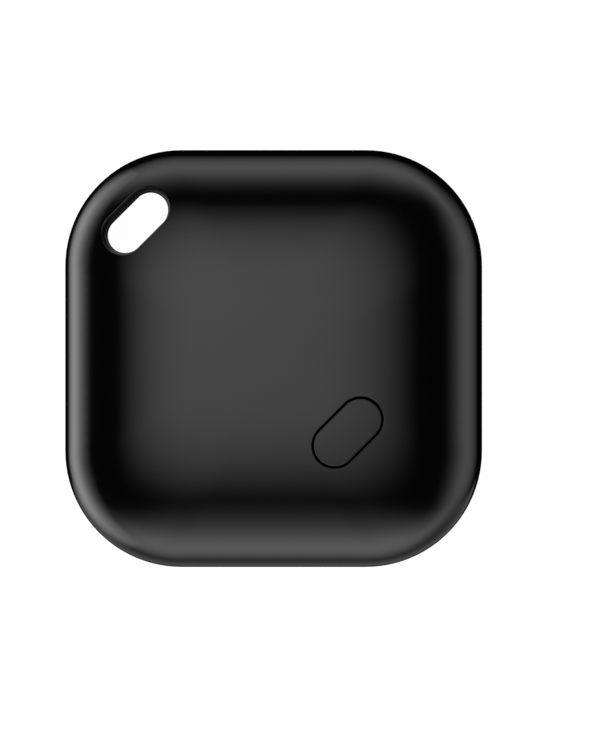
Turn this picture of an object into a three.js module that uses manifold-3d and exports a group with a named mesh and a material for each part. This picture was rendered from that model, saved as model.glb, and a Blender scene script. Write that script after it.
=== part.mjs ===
// Bluetooth tracker tag: a rear tray and a pillow-shaped front cover that snap together around a coin
// cell, a circuit board and a piezo sounder. A lanyard slot goes through one corner, and a push button
// lies flush in the front. Millimetres; the back lies on the XY plane and +Z comes out of the front.

import * as THREE from "three";
import { mergeVertices } from "three/addons/utils/BufferGeometryUtils.js";
import Module from "manifold-3d";

const wasm = await Module();
wasm.setup();

// Outer shape
const SIDE = 38;
const CORNER_RADIUS = 10.6;
const THICKNESS = 8;
const PARTING_Z = 3;
const SEAM_GAP = 0.1;
const FRONT_FULLNESS = 3.5; // exponent of the front's superellipse: higher is squarer
const BACK_EDGE_WIDTH = 2.6; // how far the rounding reaches in over the flat back
const BACK_EDGE_HEIGHT = 2.7;

// Walls, and the tongue and ledge that join the two shells
const ROOF = 1.1;
const FLOOR = 0.9;
const SIDE_WALL = 1.7;
const TONGUE_INSET = 1.0;
const TONGUE_BOTTOM = 1.95;
const REAR_WALL_INSET = 0.9;
const REAR_FLOOR_INSET = 1.9;
const LEDGE_Z = 1.5;
const GASKET_HEIGHT = 0.4;
const GASKET_INSET = [1.05, 1.65];
const PRY_NOTCH = { width: 5, depth: 0.7, bottom: 2.2 };

// Lanyard slot: a capsule whose long axis lies across the corner
const DIAGONAL = Math.PI / 4;
const SLOT = { x: -12.46, y: 12.46, half: 1.62, radius: 1.93, rearRadius: 1.64 };
const SLOT_TUBE_RADIUS = 3.0;
const SLOT_FOOT_RADIUS = 2.7;
const SLOT_FOOT_TOP = 2.0;
const SLOT_LEDGE_Z = 1.6;
const SLOT_GAP = 0.05;

// Push button, its collar in the front shell, and its membrane
const BUTTON = { x: 6.7, y: -6.7, half: 1.66, radius: 1.87 };
const APERTURE_RADIUS = 2.1;
const COLLAR_RADIUS = 3.4;
const COLLAR_BOTTOM = 5.4;
const POCKET_RADIUS = 2.75;
const POCKET_TOP = 6.4;
const FLANGE_RADIUS = 2.55;
const FLANGE_Z = [6.05, 6.35];
const STEM_RADIUS = 1.0;
const STEM_BOTTOM = 4.45;
const STEM_CLEARANCE = 0.05;
const MEMBRANE = { foot: 0.15, skirt: 2.6, shoulder: 1.95, sheet: 0.15, crown: 6.0, crownSheet: 0.12 };

// Circuit board and its screws
const BOARD_Z = [1.15, 1.95];
const BOARD_INSET = 2.1;
const BOARD_NOTCH_RADIUS = 3.3;
const SCREW_PLACES = [[12.4, 12.4], [12.4, -12.4], [-12.4, -12.4]];
const SCREW = { head: 1.2, headHeight: 0.65, shank: 0.55, tip: 0.35, hole: 0.75, boss: 1.5 };

// Coin cell, 20 mm across and 3.2 mm thick, and its contacts
const CELL = { x: -3, y: 3, radius: 10, bottom: 2.2, top: 5.4 };
const CLIP = { width: 4.5, sheet: 0.2, clearance: 0.35, foot: 1.35 };

// Piezo sounder under the roof, and the springs that reach it
const BUZZER = { x: 6, y: 5.5, radius: 7, ceramicRadius: 4.5, bottom: 5.95, sheet: 0.2 };
const CERAMIC = 0.1;
const ADHESIVE = 0.15;
const BUZZER_SEAT = [5.8, 7.3];
const SPRING = { radius: 0.8, wire: 0.15, turns: 5, clearance: 0.05 };
const CERAMIC_SPRING = [9.2, 6.6]; // where the springs stand on the board
const PLATE_SPRING = [11.8, 3.4];

// Tact switch under the button
const SWITCH = { length: 4.7, width: 3.5, wellRadius: 1.4, wellBottom: 2.3 };
const SWITCH_PLATE_Z = [3.85, 4.0];
const PLUNGER = { radius: 0.9, flange: 1.3, bottom: 3.0, flangeTop: 3.8, top: 4.4 };

// Fineness of the faceted shapes
const CORNER_STEPS = 5;
const CAPSULE_STEPS = 5;
const ROUND_STEPS = 32;
const SMALL_ROUND_STEPS = 20;
const PILLOW_RINGS = 10;
const CROWN_SCALE = 0.12; // the share of the outline that is flat at a dome's crown

const FAR = 20; // further than any part of the tag reaches

const FINISHES = {
  shell: { color: 0x101010, roughness: 0.42, metalness: 0 },
  seal: { color: 0x2a2a2c, roughness: 0.7, metalness: 0 },
  board: { color: 0x0f3d22, roughness: 0.5, metalness: 0 },
  steel: { color: 0xb9bbbd, roughness: 0.3, metalness: 1 },
  gold: { color: 0xd9b35f, roughness: 0.3, metalness: 1 },
  brass: { color: 0xc9a24d, roughness: 0.35, metalness: 1 },
  ceramic: { color: 0xe4e0d4, roughness: 0.5, metalness: 0 },
  chip: { color: 0x161618, roughness: 0.55, metalness: 0 },
  cellCore: { color: 0x3a3a3c, roughness: 0.8, metalness: 0 },
  nylon: { color: 0xcfd2d0, roughness: 0.6, metalness: 0 },
  adhesive: { color: 0xd8d4c8, roughness: 0.8, metalness: 0 },
};

// ---- Solids from three.js geometry ----

function solidOf(geometry) {
  const bare = geometry.clone();
  bare.deleteAttribute("normal");
  bare.deleteAttribute("uv");
  const merged = mergeVertices(bare, 1e-4);
  const triVerts = new Uint32Array(merged.index.array);
  const vertProperties = new Float32Array(merged.attributes.position.array);
  return new wasm.Manifold(new wasm.Mesh({ numProp: 3, vertProperties, triVerts }));
}

function geometryOf(solid) {
  const { vertProperties, triVerts } = solid.getMesh();
  const geometry = new THREE.BufferGeometry();
  geometry.setAttribute("position", new THREE.BufferAttribute(vertProperties, 3));
  geometry.setIndex(new THREE.BufferAttribute(triVerts, 1));
  const faceted = geometry.toNonIndexed();
  faceted.computeVertexNormals();
  return faceted;
}

// The tag's outline, moved in by inset all round.
function squareOutline(inset) {
  const radius = CORNER_RADIUS - inset;
  const centre = SIDE / 2 - CORNER_RADIUS;
  const quarter = Math.PI / 2;
  const shape = new THREE.Shape();
  shape.absarc(centre, centre, radius, 0, quarter);
  shape.absarc(-centre, centre, radius, quarter, 2 * quarter);
  shape.absarc(-centre, -centre, radius, 2 * quarter, 3 * quarter);
  shape.absarc(centre, -centre, radius, 3 * quarter, 4 * quarter);
  shape.closePath();
  return shape;
}

// A capsule with its long axis along X.
function capsuleOutline(half, radius) {
  const quarter = Math.PI / 2;
  const shape = new THREE.Shape();
  shape.absarc(half, 0, radius, -quarter, quarter);
  shape.absarc(-half, 0, radius, quarter, 3 * quarter);
  shape.closePath();
  return shape;
}

function prism(shape, bottom, top, curveSegments) {
  const options = { depth: top - bottom, bevelEnabled: false, curveSegments };
  const geometry = new THREE.ExtrudeGeometry(shape, options);
  geometry.translate(0, 0, bottom);
  return solidOf(geometry);
}

function squarePrism(inset, bottom, top) {
  return prism(squareOutline(inset), bottom, top, CORNER_STEPS);
}

// A capsule prism turned and placed like the slot or the button.
function capsulePrism(place, radius, bottom, top) {
  const geometry = new THREE.ExtrudeGeometry(capsuleOutline(place.half, radius), {
    depth: top - bottom,
    bevelEnabled: false,
    curveSegments: CAPSULE_STEPS,
  });
  geometry.rotateZ(DIAGONAL);
  geometry.translate(place.x, place.y, bottom);
  return solidOf(geometry);
}

function outlinePoints(shape, steps) {
  const points = shape.getPoints(steps);
  if (points[0].distanceTo(points.at(-1)) < 1e-6) {
    points.pop();
  }
  return points;
}

// A solid through rings of [size, z]. outlineAt(size) gives each ring's points, and a lathe joins them.
function loft(rings, outlineAt) {
  const profile = [[0, rings[0][1]], ...rings, [0, rings.at(-1)[1]]];
  const outlines = rings.map(([size]) => outlineAt(size));
  const count = outlines[0].length;
  const centre = new THREE.Vector2(0, 0);
  const lathePoints = profile.map(([size, z]) => new THREE.Vector2(size, z));
  const geometry = new THREE.LatheGeometry(lathePoints, count);
  const position = geometry.attributes.position;
  for (let i = 0; i < position.count; i++) {
    const row = i % profile.length;
    const column = Math.floor(i / profile.length) % count;
    const onAxis = row === 0 || row === profile.length - 1;
    const point = onAxis ? centre : outlines[row - 1][column];
    position.setXYZ(i, point.x, point.y, profile[row][1]);
  }
  return geometry;
}

function squareLoft(rings) {
  const full = outlinePoints(squareOutline(0), CORNER_STEPS);
  return solidOf(loft(rings, (scale) => full.map((point) => point.clone().multiplyScalar(scale))));
}

function capsuleLoft(place, rings) {
  const geometry = loft(rings, (radius) => outlinePoints(capsuleOutline(place.half, radius), CAPSULE_STEPS));
  geometry.rotateZ(DIAGONAL);
  geometry.translate(place.x, place.y, 0);
  return solidOf(geometry);
}

// A turned solid from [radius, z] points, about an upright axis at (x, y).
function turned(points, x, y, steps) {
  const profile = points.map(([radius, z]) => new THREE.Vector2(radius, z));
  const onAxis = points[0][0] === 0;
  if (!onAxis) {
    profile.push(profile[0].clone());
  }
  const geometry = new THREE.LatheGeometry(profile, steps);
  geometry.rotateX(Math.PI / 2);
  geometry.translate(x, y, 0);
  return solidOf(geometry);
}

function cylinder(x, y, radius, bottom, top, steps = SMALL_ROUND_STEPS) {
  return turned([[0, bottom], [radius, bottom], [radius, top], [0, top]], x, y, steps);
}

function ring(x, y, inner, outer, bottom, top) {
  return turned([[inner, bottom], [outer, bottom], [outer, top], [inner, top]], x, y, ROUND_STEPS);
}

function block(x, y, length, width, bottom, top, angle = 0) {
  const geometry = new THREE.BoxGeometry(length, width, top - bottom);
  geometry.rotateZ(angle);
  geometry.translate(x, y, (bottom + top) / 2);
  return solidOf(geometry);
}

// ---- Shells ----

// Rings of a superellipse dome over the parting line, from its rim at widest up to its flat middle.
function domeRings(widest, height) {
  const rings = [];
  const power = 2 / FRONT_FULLNESS;
  for (let i = 1; i < PILLOW_RINGS; i++) {
    const angle = ((i / PILLOW_RINGS) * Math.PI) / 2;
    const scale = widest * Math.cos(angle) ** power;
    rings.push([scale, PARTING_Z + height * Math.sin(angle) ** power]);
  }
  return rings;
}

function frontPillow() {
  const bottom = PARTING_Z + SEAM_GAP / 2;
  const rings = domeRings(1, THICKNESS - PARTING_Z);
  const crown = [CROWN_SCALE, THICKNESS];
  return squareLoft([[1, bottom], ...rings, crown]);
}

function frontCavity() {
  const widest = 1 - (2 * SIDE_WALL) / SIDE;
  const height = THICKNESS - ROOF - PARTING_Z;
  const crown = [CROWN_SCALE, PARTING_Z + height];
  return squareLoft([[widest, PARTING_Z - 1], [widest, PARTING_Z], ...domeRings(widest, height), crown]);
}

function frontShell() {
  const pillow = frontPillow();
  const tongue = squarePrism(TONGUE_INSET, TONGUE_BOTTOM, PARTING_Z + 0.3)
    .subtract(squarePrism(SIDE_WALL, TONGUE_BOTTOM - 1, PARTING_Z + 1));
  const slotTube = capsulePrism(SLOT, SLOT_TUBE_RADIUS, SLOT_FOOT_TOP, THICKNESS);
  const collar = capsulePrism(BUTTON, COLLAR_RADIUS, COLLAR_BOTTOM, THICKNESS);
  const seatBottom = BUZZER.bottom + BUZZER.sheet + ADHESIVE;
  const seat = ring(BUZZER.x, BUZZER.y, ...BUZZER_SEAT, seatBottom, THICKNESS);
  const body = squarePrism(0, PARTING_Z - 2, PARTING_Z + SEAM_GAP);
  const inside = pillow.add(body);
  return pillow
    .subtract(frontCavity())
    .add(tongue)
    .add(slotTube.add(collar).add(seat).intersect(inside))
    .add(capsulePrism(SLOT, SLOT_FOOT_RADIUS, SLOT_LEDGE_Z + SLOT_GAP, SLOT_FOOT_TOP + 0.1))
    .subtract(capsulePrism(SLOT, SLOT.radius, 0, FAR))
    .subtract(capsulePrism(BUTTON, POCKET_RADIUS, 0, POCKET_TOP))
    .subtract(capsulePrism(BUTTON, APERTURE_RADIUS, 0, FAR));
}

function rearPillow() {
  const rings = [];
  const steps = 6;
  for (let i = 0; i <= steps; i++) {
    const angle = ((i / steps) * Math.PI) / 2;
    const inset = BACK_EDGE_WIDTH * (1 - Math.sin(angle));
    rings.push([1 - (2 * inset) / SIDE, BACK_EDGE_HEIGHT * (1 - Math.cos(angle))]);
  }
  return squareLoft([...rings, [1, PARTING_Z - SEAM_GAP / 2]]);
}

function rearShell() {
  const notch = block(SIDE / 2, 0, 2 * PRY_NOTCH.depth, PRY_NOTCH.width, PRY_NOTCH.bottom, FAR);
  let shell = rearPillow()
    .subtract(squarePrism(REAR_FLOOR_INSET, FLOOR, FAR))
    .subtract(squarePrism(REAR_WALL_INSET, LEDGE_Z, FAR))
    .add(capsulePrism(SLOT, SLOT_FOOT_RADIUS, FLOOR / 2, SLOT_LEDGE_Z))
    .subtract(capsulePrism(SLOT, SLOT.rearRadius, -1, FAR))
    .subtract(notch);
  for (const [x, y] of SCREW_PLACES) {
    const pilot = SCREW.shank + 0.05;
    shell = shell
      .add(cylinder(x, y, SCREW.boss, FLOOR / 2, BOARD_Z[0]))
      .subtract(cylinder(x, y, pilot, SCREW.tip - 0.05, FAR));
  }
  return shell;
}

function rimGasket() {
  const [outer, inner] = GASKET_INSET;
  return squarePrism(outer, LEDGE_Z, LEDGE_Z + GASKET_HEIGHT)
    .subtract(squarePrism(inner, LEDGE_Z - 1, LEDGE_Z + 1));
}

// ---- Button and tact switch ----

function buttonCap() {
  return capsulePrism(BUTTON, BUTTON.radius, FLANGE_Z[0], THICKNESS)
    .intersect(frontPillow())
    .add(capsulePrism(BUTTON, FLANGE_RADIUS, ...FLANGE_Z))
    .add(cylinder(BUTTON.x, BUTTON.y, STEM_RADIUS, STEM_BOTTOM, FLANGE_Z[0] + 0.1));
}

function buttonMembrane() {
  const { foot, skirt, shoulder, sheet, crown, crownSheet } = MEMBRANE;
  const footBottom = COLLAR_BOTTOM - foot;
  const outside = [
    [COLLAR_RADIUS, footBottom],
    [COLLAR_RADIUS, COLLAR_BOTTOM],
    [skirt, COLLAR_BOTTOM],
    [shoulder, crown],
  ];
  const hollow = [
    [skirt - sheet, footBottom - 1],
    [skirt - sheet, footBottom + 0.05],
    [shoulder - sheet, crown - crownSheet],
  ];
  return capsuleLoft(BUTTON, outside)
    .subtract(capsuleLoft(BUTTON, hollow))
    .subtract(cylinder(BUTTON.x, BUTTON.y, STEM_RADIUS + STEM_CLEARANCE, 0, FAR));
}

function switchBody() {
  return block(BUTTON.x, BUTTON.y, SWITCH.length, SWITCH.width, BOARD_Z[1], SWITCH_PLATE_Z[0], DIAGONAL)
    .subtract(cylinder(BUTTON.x, BUTTON.y, SWITCH.wellRadius, SWITCH.wellBottom, FAR));
}

function switchPlate() {
  return block(BUTTON.x, BUTTON.y, SWITCH.length, SWITCH.width, ...SWITCH_PLATE_Z, DIAGONAL)
    .subtract(cylinder(BUTTON.x, BUTTON.y, PLUNGER.radius + 0.06, 0, FAR));
}

function switchPlunger() {
  return cylinder(BUTTON.x, BUTTON.y, PLUNGER.flange, PLUNGER.bottom, PLUNGER.flangeTop)
    .add(cylinder(BUTTON.x, BUTTON.y, PLUNGER.radius, PLUNGER.bottom, PLUNGER.top));
}

function switchDome() {
  const foot = SWITCH.wellBottom + 0.05;
  const outside = [[1.3, foot], [0.9, foot + 0.37], [0.4, foot + 0.57], [0, foot + 0.6]];
  const inside = [[0, foot + 0.52], [0.4, foot + 0.49], [0.82, foot + 0.3], [1.2, foot]];
  return turned([...inside, ...outside], BUTTON.x, BUTTON.y, SMALL_ROUND_STEPS);
}

// ---- Circuit board and what is soldered to it ----

function circuitBoard() {
  let board = squarePrism(BOARD_INSET, ...BOARD_Z)
    .subtract(capsulePrism(SLOT, BOARD_NOTCH_RADIUS, 0, FAR));
  for (const [x, y] of SCREW_PLACES) {
    board = board.subtract(cylinder(x, y, SCREW.hole, 0, FAR));
  }
  return board;
}

function boardScrew(x, y) {
  const headBottom = BOARD_Z[1];
  const headTop = headBottom + SCREW.headHeight;
  const profile = [
    [0, SCREW.tip],
    [SCREW.shank, SCREW.tip],
    [SCREW.shank, headBottom],
    [SCREW.head, headBottom],
    [SCREW.head, headTop - 0.3],
    [SCREW.head * 0.7, headTop],
    [0, headTop],
  ];
  const cross = block(x, y, 1.3, 0.28, headTop - 0.4, FAR).add(block(x, y, 0.28, 1.3, headTop - 0.4, FAR));
  return turned(profile, x, y, SMALL_ROUND_STEPS).subtract(cross);
}

function onBoard({ x, y, length, width, height, angle = 0 }) {
  return block(x, y, length, width, BOARD_Z[1], BOARD_Z[1] + height, angle);
}

const BOARD_PARTS = {
  radio_chip: { x: 12.3, y: -1.2, length: 4.5, width: 4.5, height: 0.8, finish: "chip" },
  radio_crystal: { x: 13, y: -5.4, length: 2.5, width: 2, height: 0.6, finish: "steel" },
  chip_antenna: { x: 2, y: -15.2, length: 6, width: 2, height: 1.1, finish: "ceramic" },
  booster_coil: { x: -5.4, y: -12, length: 3.6, width: 3.6, height: 1.8, finish: "chip" },
  capacitor_1: { x: 13.4, y: 8.2, length: 2, width: 1.25, height: 0.9, finish: "ceramic" },
  capacitor_2: { x: 14.6, y: 4.4, length: 1.25, width: 2, height: 0.9, finish: "ceramic" },
  capacitor_3: { x: 1.6, y: -11.4, length: 2, width: 1.25, height: 0.9, finish: "ceramic" },
  resistor_1: { x: 12.4, y: -8.8, length: 0.8, width: 1.6, height: 0.45, finish: "chip" },
  resistor_2: { x: -9.8, y: -11.6, length: 1.6, width: 0.8, height: 0.45, finish: "chip" },
};

// ---- Coin cell and its contacts ----

function coinCellCan() {
  const { radius, top, bottom } = CELL;
  const sheet = 0.25;
  return turned([
    [0, top - sheet],
    [radius - sheet, top - sheet],
    [radius - sheet, bottom + 0.45],
    [radius - 0.6, bottom + 0.45],
    [radius - 0.6, bottom + 0.25],
    [radius - 0.2, bottom + 0.25],
    [radius, bottom + 0.5],
    [radius, top - 0.3],
    [radius - 0.3, top],
    [0, top],
  ], CELL.x, CELL.y, ROUND_STEPS);
}

function coinCellCap() {
  const z = CELL.bottom;
  return turned([
    [0, z],
    [8.5, z],
    [8.7, z + 0.2],
    [8.7, z + 0.55],
    [9.0, z + 0.7],
    [9.0, z + 1.4],
    [8.8, z + 1.4],
    [8.8, z + 0.8],
    [8.5, z + 0.65],
    [8.5, z + 0.25],
    [8.35, z + 0.18],
    [0, z + 0.18],
  ], CELL.x, CELL.y, ROUND_STEPS);
}

function coinCellSeal() {
  const z = CELL.bottom;
  return turned([
    [8.75, z + 0.28],
    [9.35, z + 0.28],
    [9.35, z + 0.5],
    [9.7, z + 0.5],
    [9.7, z + 2],
    [9.05, z + 2],
    [9.05, z + 0.65],
    [8.75, z + 0.5],
  ], CELL.x, CELL.y, ROUND_STEPS);
}

function coinCellCore() {
  const z = CELL.bottom;
  return turned([
    [0, z + 0.25],
    [8.2, z + 0.25],
    [8.4, z + 0.9],
    [8.4, z + 2.1],
    [9.5, z + 2.1],
    [9.5, z + 2.9],
    [0, z + 2.9],
  ], CELL.x, CELL.y, ROUND_STEPS);
}

// A sheet strap across the cell, with a leg and a soldered foot at each end.
function positiveClip() {
  const inner = CELL.radius + CLIP.clearance;
  const outer = inner + CLIP.sheet;
  const board = BOARD_Z[1];
  const half = [
    [outer, CELL.top + CLIP.sheet],
    [outer, board + CLIP.sheet],
    [outer + CLIP.foot, board + CLIP.sheet],
    [outer + CLIP.foot, board],
    [inner, board],
    [inner, CELL.top],
  ];
  const mirrored = half.map(([across, z]) => [-across, z]).reverse();
  const outline = [...half, ...mirrored].map(([across, z]) => new THREE.Vector2(across, z));
  const strap = new THREE.Shape(outline);
  const geometry = new THREE.ExtrudeGeometry(strap, { depth: CLIP.width, bevelEnabled: false });
  geometry.translate(0, 0, -CLIP.width / 2);
  const alongY = new THREE.Vector3(0, 1, 0);
  const alongZ = new THREE.Vector3(0, 0, 1);
  const alongX = new THREE.Vector3(1, 0, 0);
  geometry.applyMatrix4(new THREE.Matrix4().makeBasis(alongY, alongZ, alongX));
  geometry.translate(CELL.x, CELL.y, 0);
  return solidOf(geometry);
}

function negativeContact() {
  const z = BOARD_Z[1];
  return turned([[0, z], [4, z], [4, z + 0.1], [1.6, z + 0.1], [1, z + 0.2], [0, z + 0.23]],
    CELL.x, CELL.y, ROUND_STEPS);
}

// ---- Sounder ----

function buzzerPlate() {
  const { x, y, radius, bottom, sheet } = BUZZER;
  return cylinder(x, y, radius, bottom, bottom + sheet, ROUND_STEPS);
}

function buzzerCeramic() {
  const { x, y, ceramicRadius, bottom } = BUZZER;
  return cylinder(x, y, ceramicRadius, bottom - CERAMIC, bottom, ROUND_STEPS);
}

function buzzerAdhesive() {
  const bottom = BUZZER.bottom + BUZZER.sheet;
  return ring(BUZZER.x, BUZZER.y, BUZZER_SEAT[0], BUZZER.radius, bottom, bottom + ADHESIVE);
}

class Helix extends THREE.Curve {
  constructor(radius, turns, bottom, top) {
    super();
    Object.assign(this, { radius, turns, bottom, top });
  }

  getPoint(t, target = new THREE.Vector3()) {
    const angle = 2 * Math.PI * this.turns * t;
    const z = this.bottom + (this.top - this.bottom) * t;
    return target.set(this.radius * Math.cos(angle), this.radius * Math.sin(angle), z);
  }
}

function buzzerSpring(x, y, underside) {
  const bottom = BOARD_Z[1] + SPRING.wire + SPRING.clearance;
  const top = underside - SPRING.wire - SPRING.clearance;
  const wire = new THREE.Shape();
  wire.absarc(0, 0, SPRING.wire, 0, 2 * Math.PI);
  const geometry = new THREE.ExtrudeGeometry(wire, {
    steps: SPRING.turns * 10,
    curveSegments: 3,
    bevelEnabled: false,
    extrudePath: new Helix(SPRING.radius, SPRING.turns, bottom, top),
  });
  geometry.translate(x, y, 0);
  return solidOf(geometry);
}

// ---- Assembly ----

const tag = new THREE.Group();

function place(name, solid, finish) {
  const mesh = new THREE.Mesh(geometryOf(solid), new THREE.MeshStandardMaterial(FINISHES[finish]));
  mesh.name = name;
  tag.add(mesh);
}

place("rear_shell", rearShell(), "shell");
place("rim_gasket", rimGasket(), "seal");
place("circuit_board", circuitBoard(), "board");
SCREW_PLACES.forEach(([x, y], i) => place(`board_screw_${i + 1}`, boardScrew(x, y), "steel"));
for (const [name, part] of Object.entries(BOARD_PARTS)) {
  place(name, onBoard(part), part.finish);
}
place("negative_contact", negativeContact(), "gold");
place("coin_cell_cap", coinCellCap(), "steel");
place("coin_cell_seal", coinCellSeal(), "nylon");
place("coin_cell_core", coinCellCore(), "cellCore");
place("coin_cell_can", coinCellCan(), "steel");
place("positive_clip", positiveClip(), "steel");
place("buzzer_spring_1", buzzerSpring(...CERAMIC_SPRING, BUZZER.bottom - CERAMIC), "gold");
place("buzzer_spring_2", buzzerSpring(...PLATE_SPRING, BUZZER.bottom), "gold");
place("switch_body", switchBody(), "chip");
place("switch_plate", switchPlate(), "steel");
place("switch_dome", switchDome(), "steel");
place("switch_plunger", switchPlunger(), "chip");
place("front_shell", frontShell(), "shell");
place("buzzer_adhesive", buzzerAdhesive(), "adhesive");
place("buzzer_plate", buzzerPlate(), "brass");
place("buzzer_ceramic", buzzerCeramic(), "ceramic");
place("button_membrane", buttonMembrane(), "seal");
place("button_cap", buttonCap(), "shell");

export default tag;
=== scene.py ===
# A bluetooth tracker tag that lies on its back: the moulded shells, the push button, and inside them the
# board, the coin cell and the sounder. Sizes are in millimetres and every finished mesh is in metres.

import math

import bmesh
import bpy
import numpy as np
from mathutils import Matrix, Vector
from mathutils.geometry import delaunay_2d_cdt


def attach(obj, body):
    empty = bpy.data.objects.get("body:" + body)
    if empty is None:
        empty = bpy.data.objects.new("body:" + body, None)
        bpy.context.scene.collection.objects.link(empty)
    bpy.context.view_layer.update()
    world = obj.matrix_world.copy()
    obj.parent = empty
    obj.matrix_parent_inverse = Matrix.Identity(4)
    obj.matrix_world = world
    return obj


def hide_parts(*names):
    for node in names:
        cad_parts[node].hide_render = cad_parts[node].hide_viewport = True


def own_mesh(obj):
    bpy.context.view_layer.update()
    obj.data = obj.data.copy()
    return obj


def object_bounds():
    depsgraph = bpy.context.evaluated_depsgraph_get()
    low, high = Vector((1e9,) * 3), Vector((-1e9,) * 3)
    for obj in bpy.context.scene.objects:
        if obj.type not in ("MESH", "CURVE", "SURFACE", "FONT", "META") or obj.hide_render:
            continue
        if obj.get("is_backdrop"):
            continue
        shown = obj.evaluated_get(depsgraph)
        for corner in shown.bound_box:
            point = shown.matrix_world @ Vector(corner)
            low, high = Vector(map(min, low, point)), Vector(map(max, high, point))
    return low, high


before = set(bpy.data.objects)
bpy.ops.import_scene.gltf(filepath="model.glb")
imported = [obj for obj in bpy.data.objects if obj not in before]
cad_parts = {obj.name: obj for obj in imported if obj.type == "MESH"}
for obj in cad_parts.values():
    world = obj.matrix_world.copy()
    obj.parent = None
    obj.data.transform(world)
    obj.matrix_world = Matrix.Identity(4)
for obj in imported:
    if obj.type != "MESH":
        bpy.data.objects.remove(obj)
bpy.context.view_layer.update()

# ---- Studio ----
# A camera high above the tag, a pale floor, and soft-edged light cards: a large one overhead and a long
# one on each side, which draw the bright bands along the shell's rounded edges.

MM = 0.001
LONG_SENSOR = 36
CAMERA_ABOVE = 440
VIEW_LENGTH = 68.45
PARTING_Z = 3.0
CAMERA_PLACE = (2.4, -1.5)

scene = bpy.context.scene
scene.view_settings.view_transform = "Standard"

camera_data = bpy.data.cameras.new("camera")
camera_data.sensor_width = LONG_SENSOR
camera_data.lens = LONG_SENSOR * CAMERA_ABOVE / VIEW_LENGTH
camera_data.clip_start = 0.05
camera_data.clip_end = 20
camera = bpy.data.objects.new("camera", camera_data)
camera.location = (CAMERA_PLACE[0] * MM, CAMERA_PLACE[1] * MM, (CAMERA_ABOVE + PARTING_Z) * MM)
scene.collection.objects.link(camera)
scene.camera = camera


def join(tree, socket, value):
    """Links a wrapped output to a node's input, or sets the input's own value."""
    if isinstance(value, Flow):
        tree.links.new(value.socket, socket)
    else:
        socket.default_value = value


class Flow:
    """A node's output. Python arithmetic on it adds Math nodes to its tree."""

    def __init__(self, tree, socket):
        self.tree = tree
        self.socket = socket

    def math(self, operation, *values):
        """One Math node on values, or on this output alone."""
        node = self.tree.nodes.new("ShaderNodeMath")
        node.operation = operation
        for socket, value in zip(node.inputs, values or (self,)):
            join(self.tree, socket, value)
        return Flow(self.tree, node.outputs[0])

    def __add__(self, other):
        return self.math("ADD", self, other)

    def __sub__(self, other):
        return self.math("SUBTRACT", self, other)

    def __rsub__(self, other):
        return self.math("SUBTRACT", other, self)

    def __mul__(self, other):
        return self.math("MULTIPLY", self, other)

    def __truediv__(self, other):
        return self.math("DIVIDE", self, other)

    def __rtruediv__(self, other):
        return self.math("DIVIDE", other, self)

    def __pow__(self, other):
        return self.math("POWER", self, other)

    __radd__ = __add__
    __rmul__ = __mul__

    def at_least(self, least):
        return self.math("MAXIMUM", self, least)

    def at_most(self, most):
        return self.math("MINIMUM", self, most)

    def ramp(self, none, full):
        """Rises smoothly from 0 where the value is none to 1 where it is full."""
        node = self.tree.nodes.new("ShaderNodeMapRange")
        node.interpolation_type = "SMOOTHSTEP"
        join(self.tree, node.inputs["Value"], self)
        node.inputs["From Min"].default_value = none
        node.inputs["From Max"].default_value = full
        return Flow(self.tree, node.outputs[0])


class Sheet:
    """A node tree that is being written."""

    def __init__(self, tree):
        self.tree = tree

    def add(self, kind, settings=None, sockets=None, output=0):
        """One node, from its type, settings and sockets."""
        node = self.tree.nodes.new(kind)
        for name, value in (settings or {}).items():
            setattr(node, name, value)
        for name, value in (sockets or {}).items():
            join(self.tree, node.inputs[name], value)
        return Flow(self.tree, node.outputs[output]) if node.outputs else node

    def place(self):
        return self.add("ShaderNodeTexCoord", output="Object")

    def noise(self, size, detail=2.0, place=None):
        """Noise whose features are about size millimetres across."""
        sockets = {"Vector": place or self.place(), "Scale": 1 / (size * MM), "Detail": detail}
        return self.add("ShaderNodeTexNoise", None, sockets)

    def mix(self, share, one, other):
        """A colour between two."""
        sockets = {"Factor": share, 6: (*one, 1), 7: (*other, 1)}
        return self.add("ShaderNodeMix", {"data_type": "RGBA"}, sockets, output=2)

    def surface(self, colour, roughness, relief=None, **others):
        """Closes a material. relief is a bump's depth in millimetres and its height."""
        sockets = {"Base Color": colour, "Roughness": roughness}
        if relief:
            bump = {"Distance": relief[0] * MM, "Height": relief[1]}
            sockets["Normal"] = self.add("ShaderNodeBump", None, bump)
        for name, value in others.items():
            sockets[name.replace("_", " ")] = value
        shader = self.add("ShaderNodeBsdfPrincipled", None, sockets)
        self.add("ShaderNodeOutputMaterial", None, {"Surface": shader})


def new_material(name):
    material = bpy.data.materials.new(name)
    material.use_nodes = True
    material.node_tree.nodes.clear()
    return material, Sheet(material.node_tree)


def light_card(name, size, glow, light_at):
    """A see-through card. light_at(x, y) gives its light's share, in millimetres from its middle."""
    material, sheet = new_material(name)
    place = sheet.place()
    x, y = (sheet.add("ShaderNodeSeparateXYZ", None, {"Vector": place}, output=axis) / MM for axis in "XY")
    share = light_at(x, y)
    white = sheet.add("ShaderNodeCombineColor", None, {"Red": share, "Green": share, "Blue": share})
    light = sheet.add("ShaderNodeEmission", None, {"Color": white, "Strength": glow})
    clear = sheet.add("ShaderNodeBsdfTransparent")
    both = sheet.add("ShaderNodeAddShader", None, {0: light, 1: clear})
    sheet.add("ShaderNodeOutputMaterial", None, {"Surface": both})
    across, high = (length / 2 * MM for length in size)
    mesh = bpy.data.meshes.new(name)
    corners = [(-across, -high, 0), (across, -high, 0), (across, high, 0), (-across, high, 0)]
    mesh.from_pydata(corners, [], [(3, 2, 1, 0)])
    mesh.materials.append(material)
    card = bpy.data.objects.new(name, mesh)
    card.visible_camera = False
    scene.collection.objects.link(card)
    card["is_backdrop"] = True
    return card


CARD_DISTANCE = 600
CARD_HALF_LENGTH = 1100
GATHER_BELOW = 60  # a card's light draws in towards its middle above this angle from straight up


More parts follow.
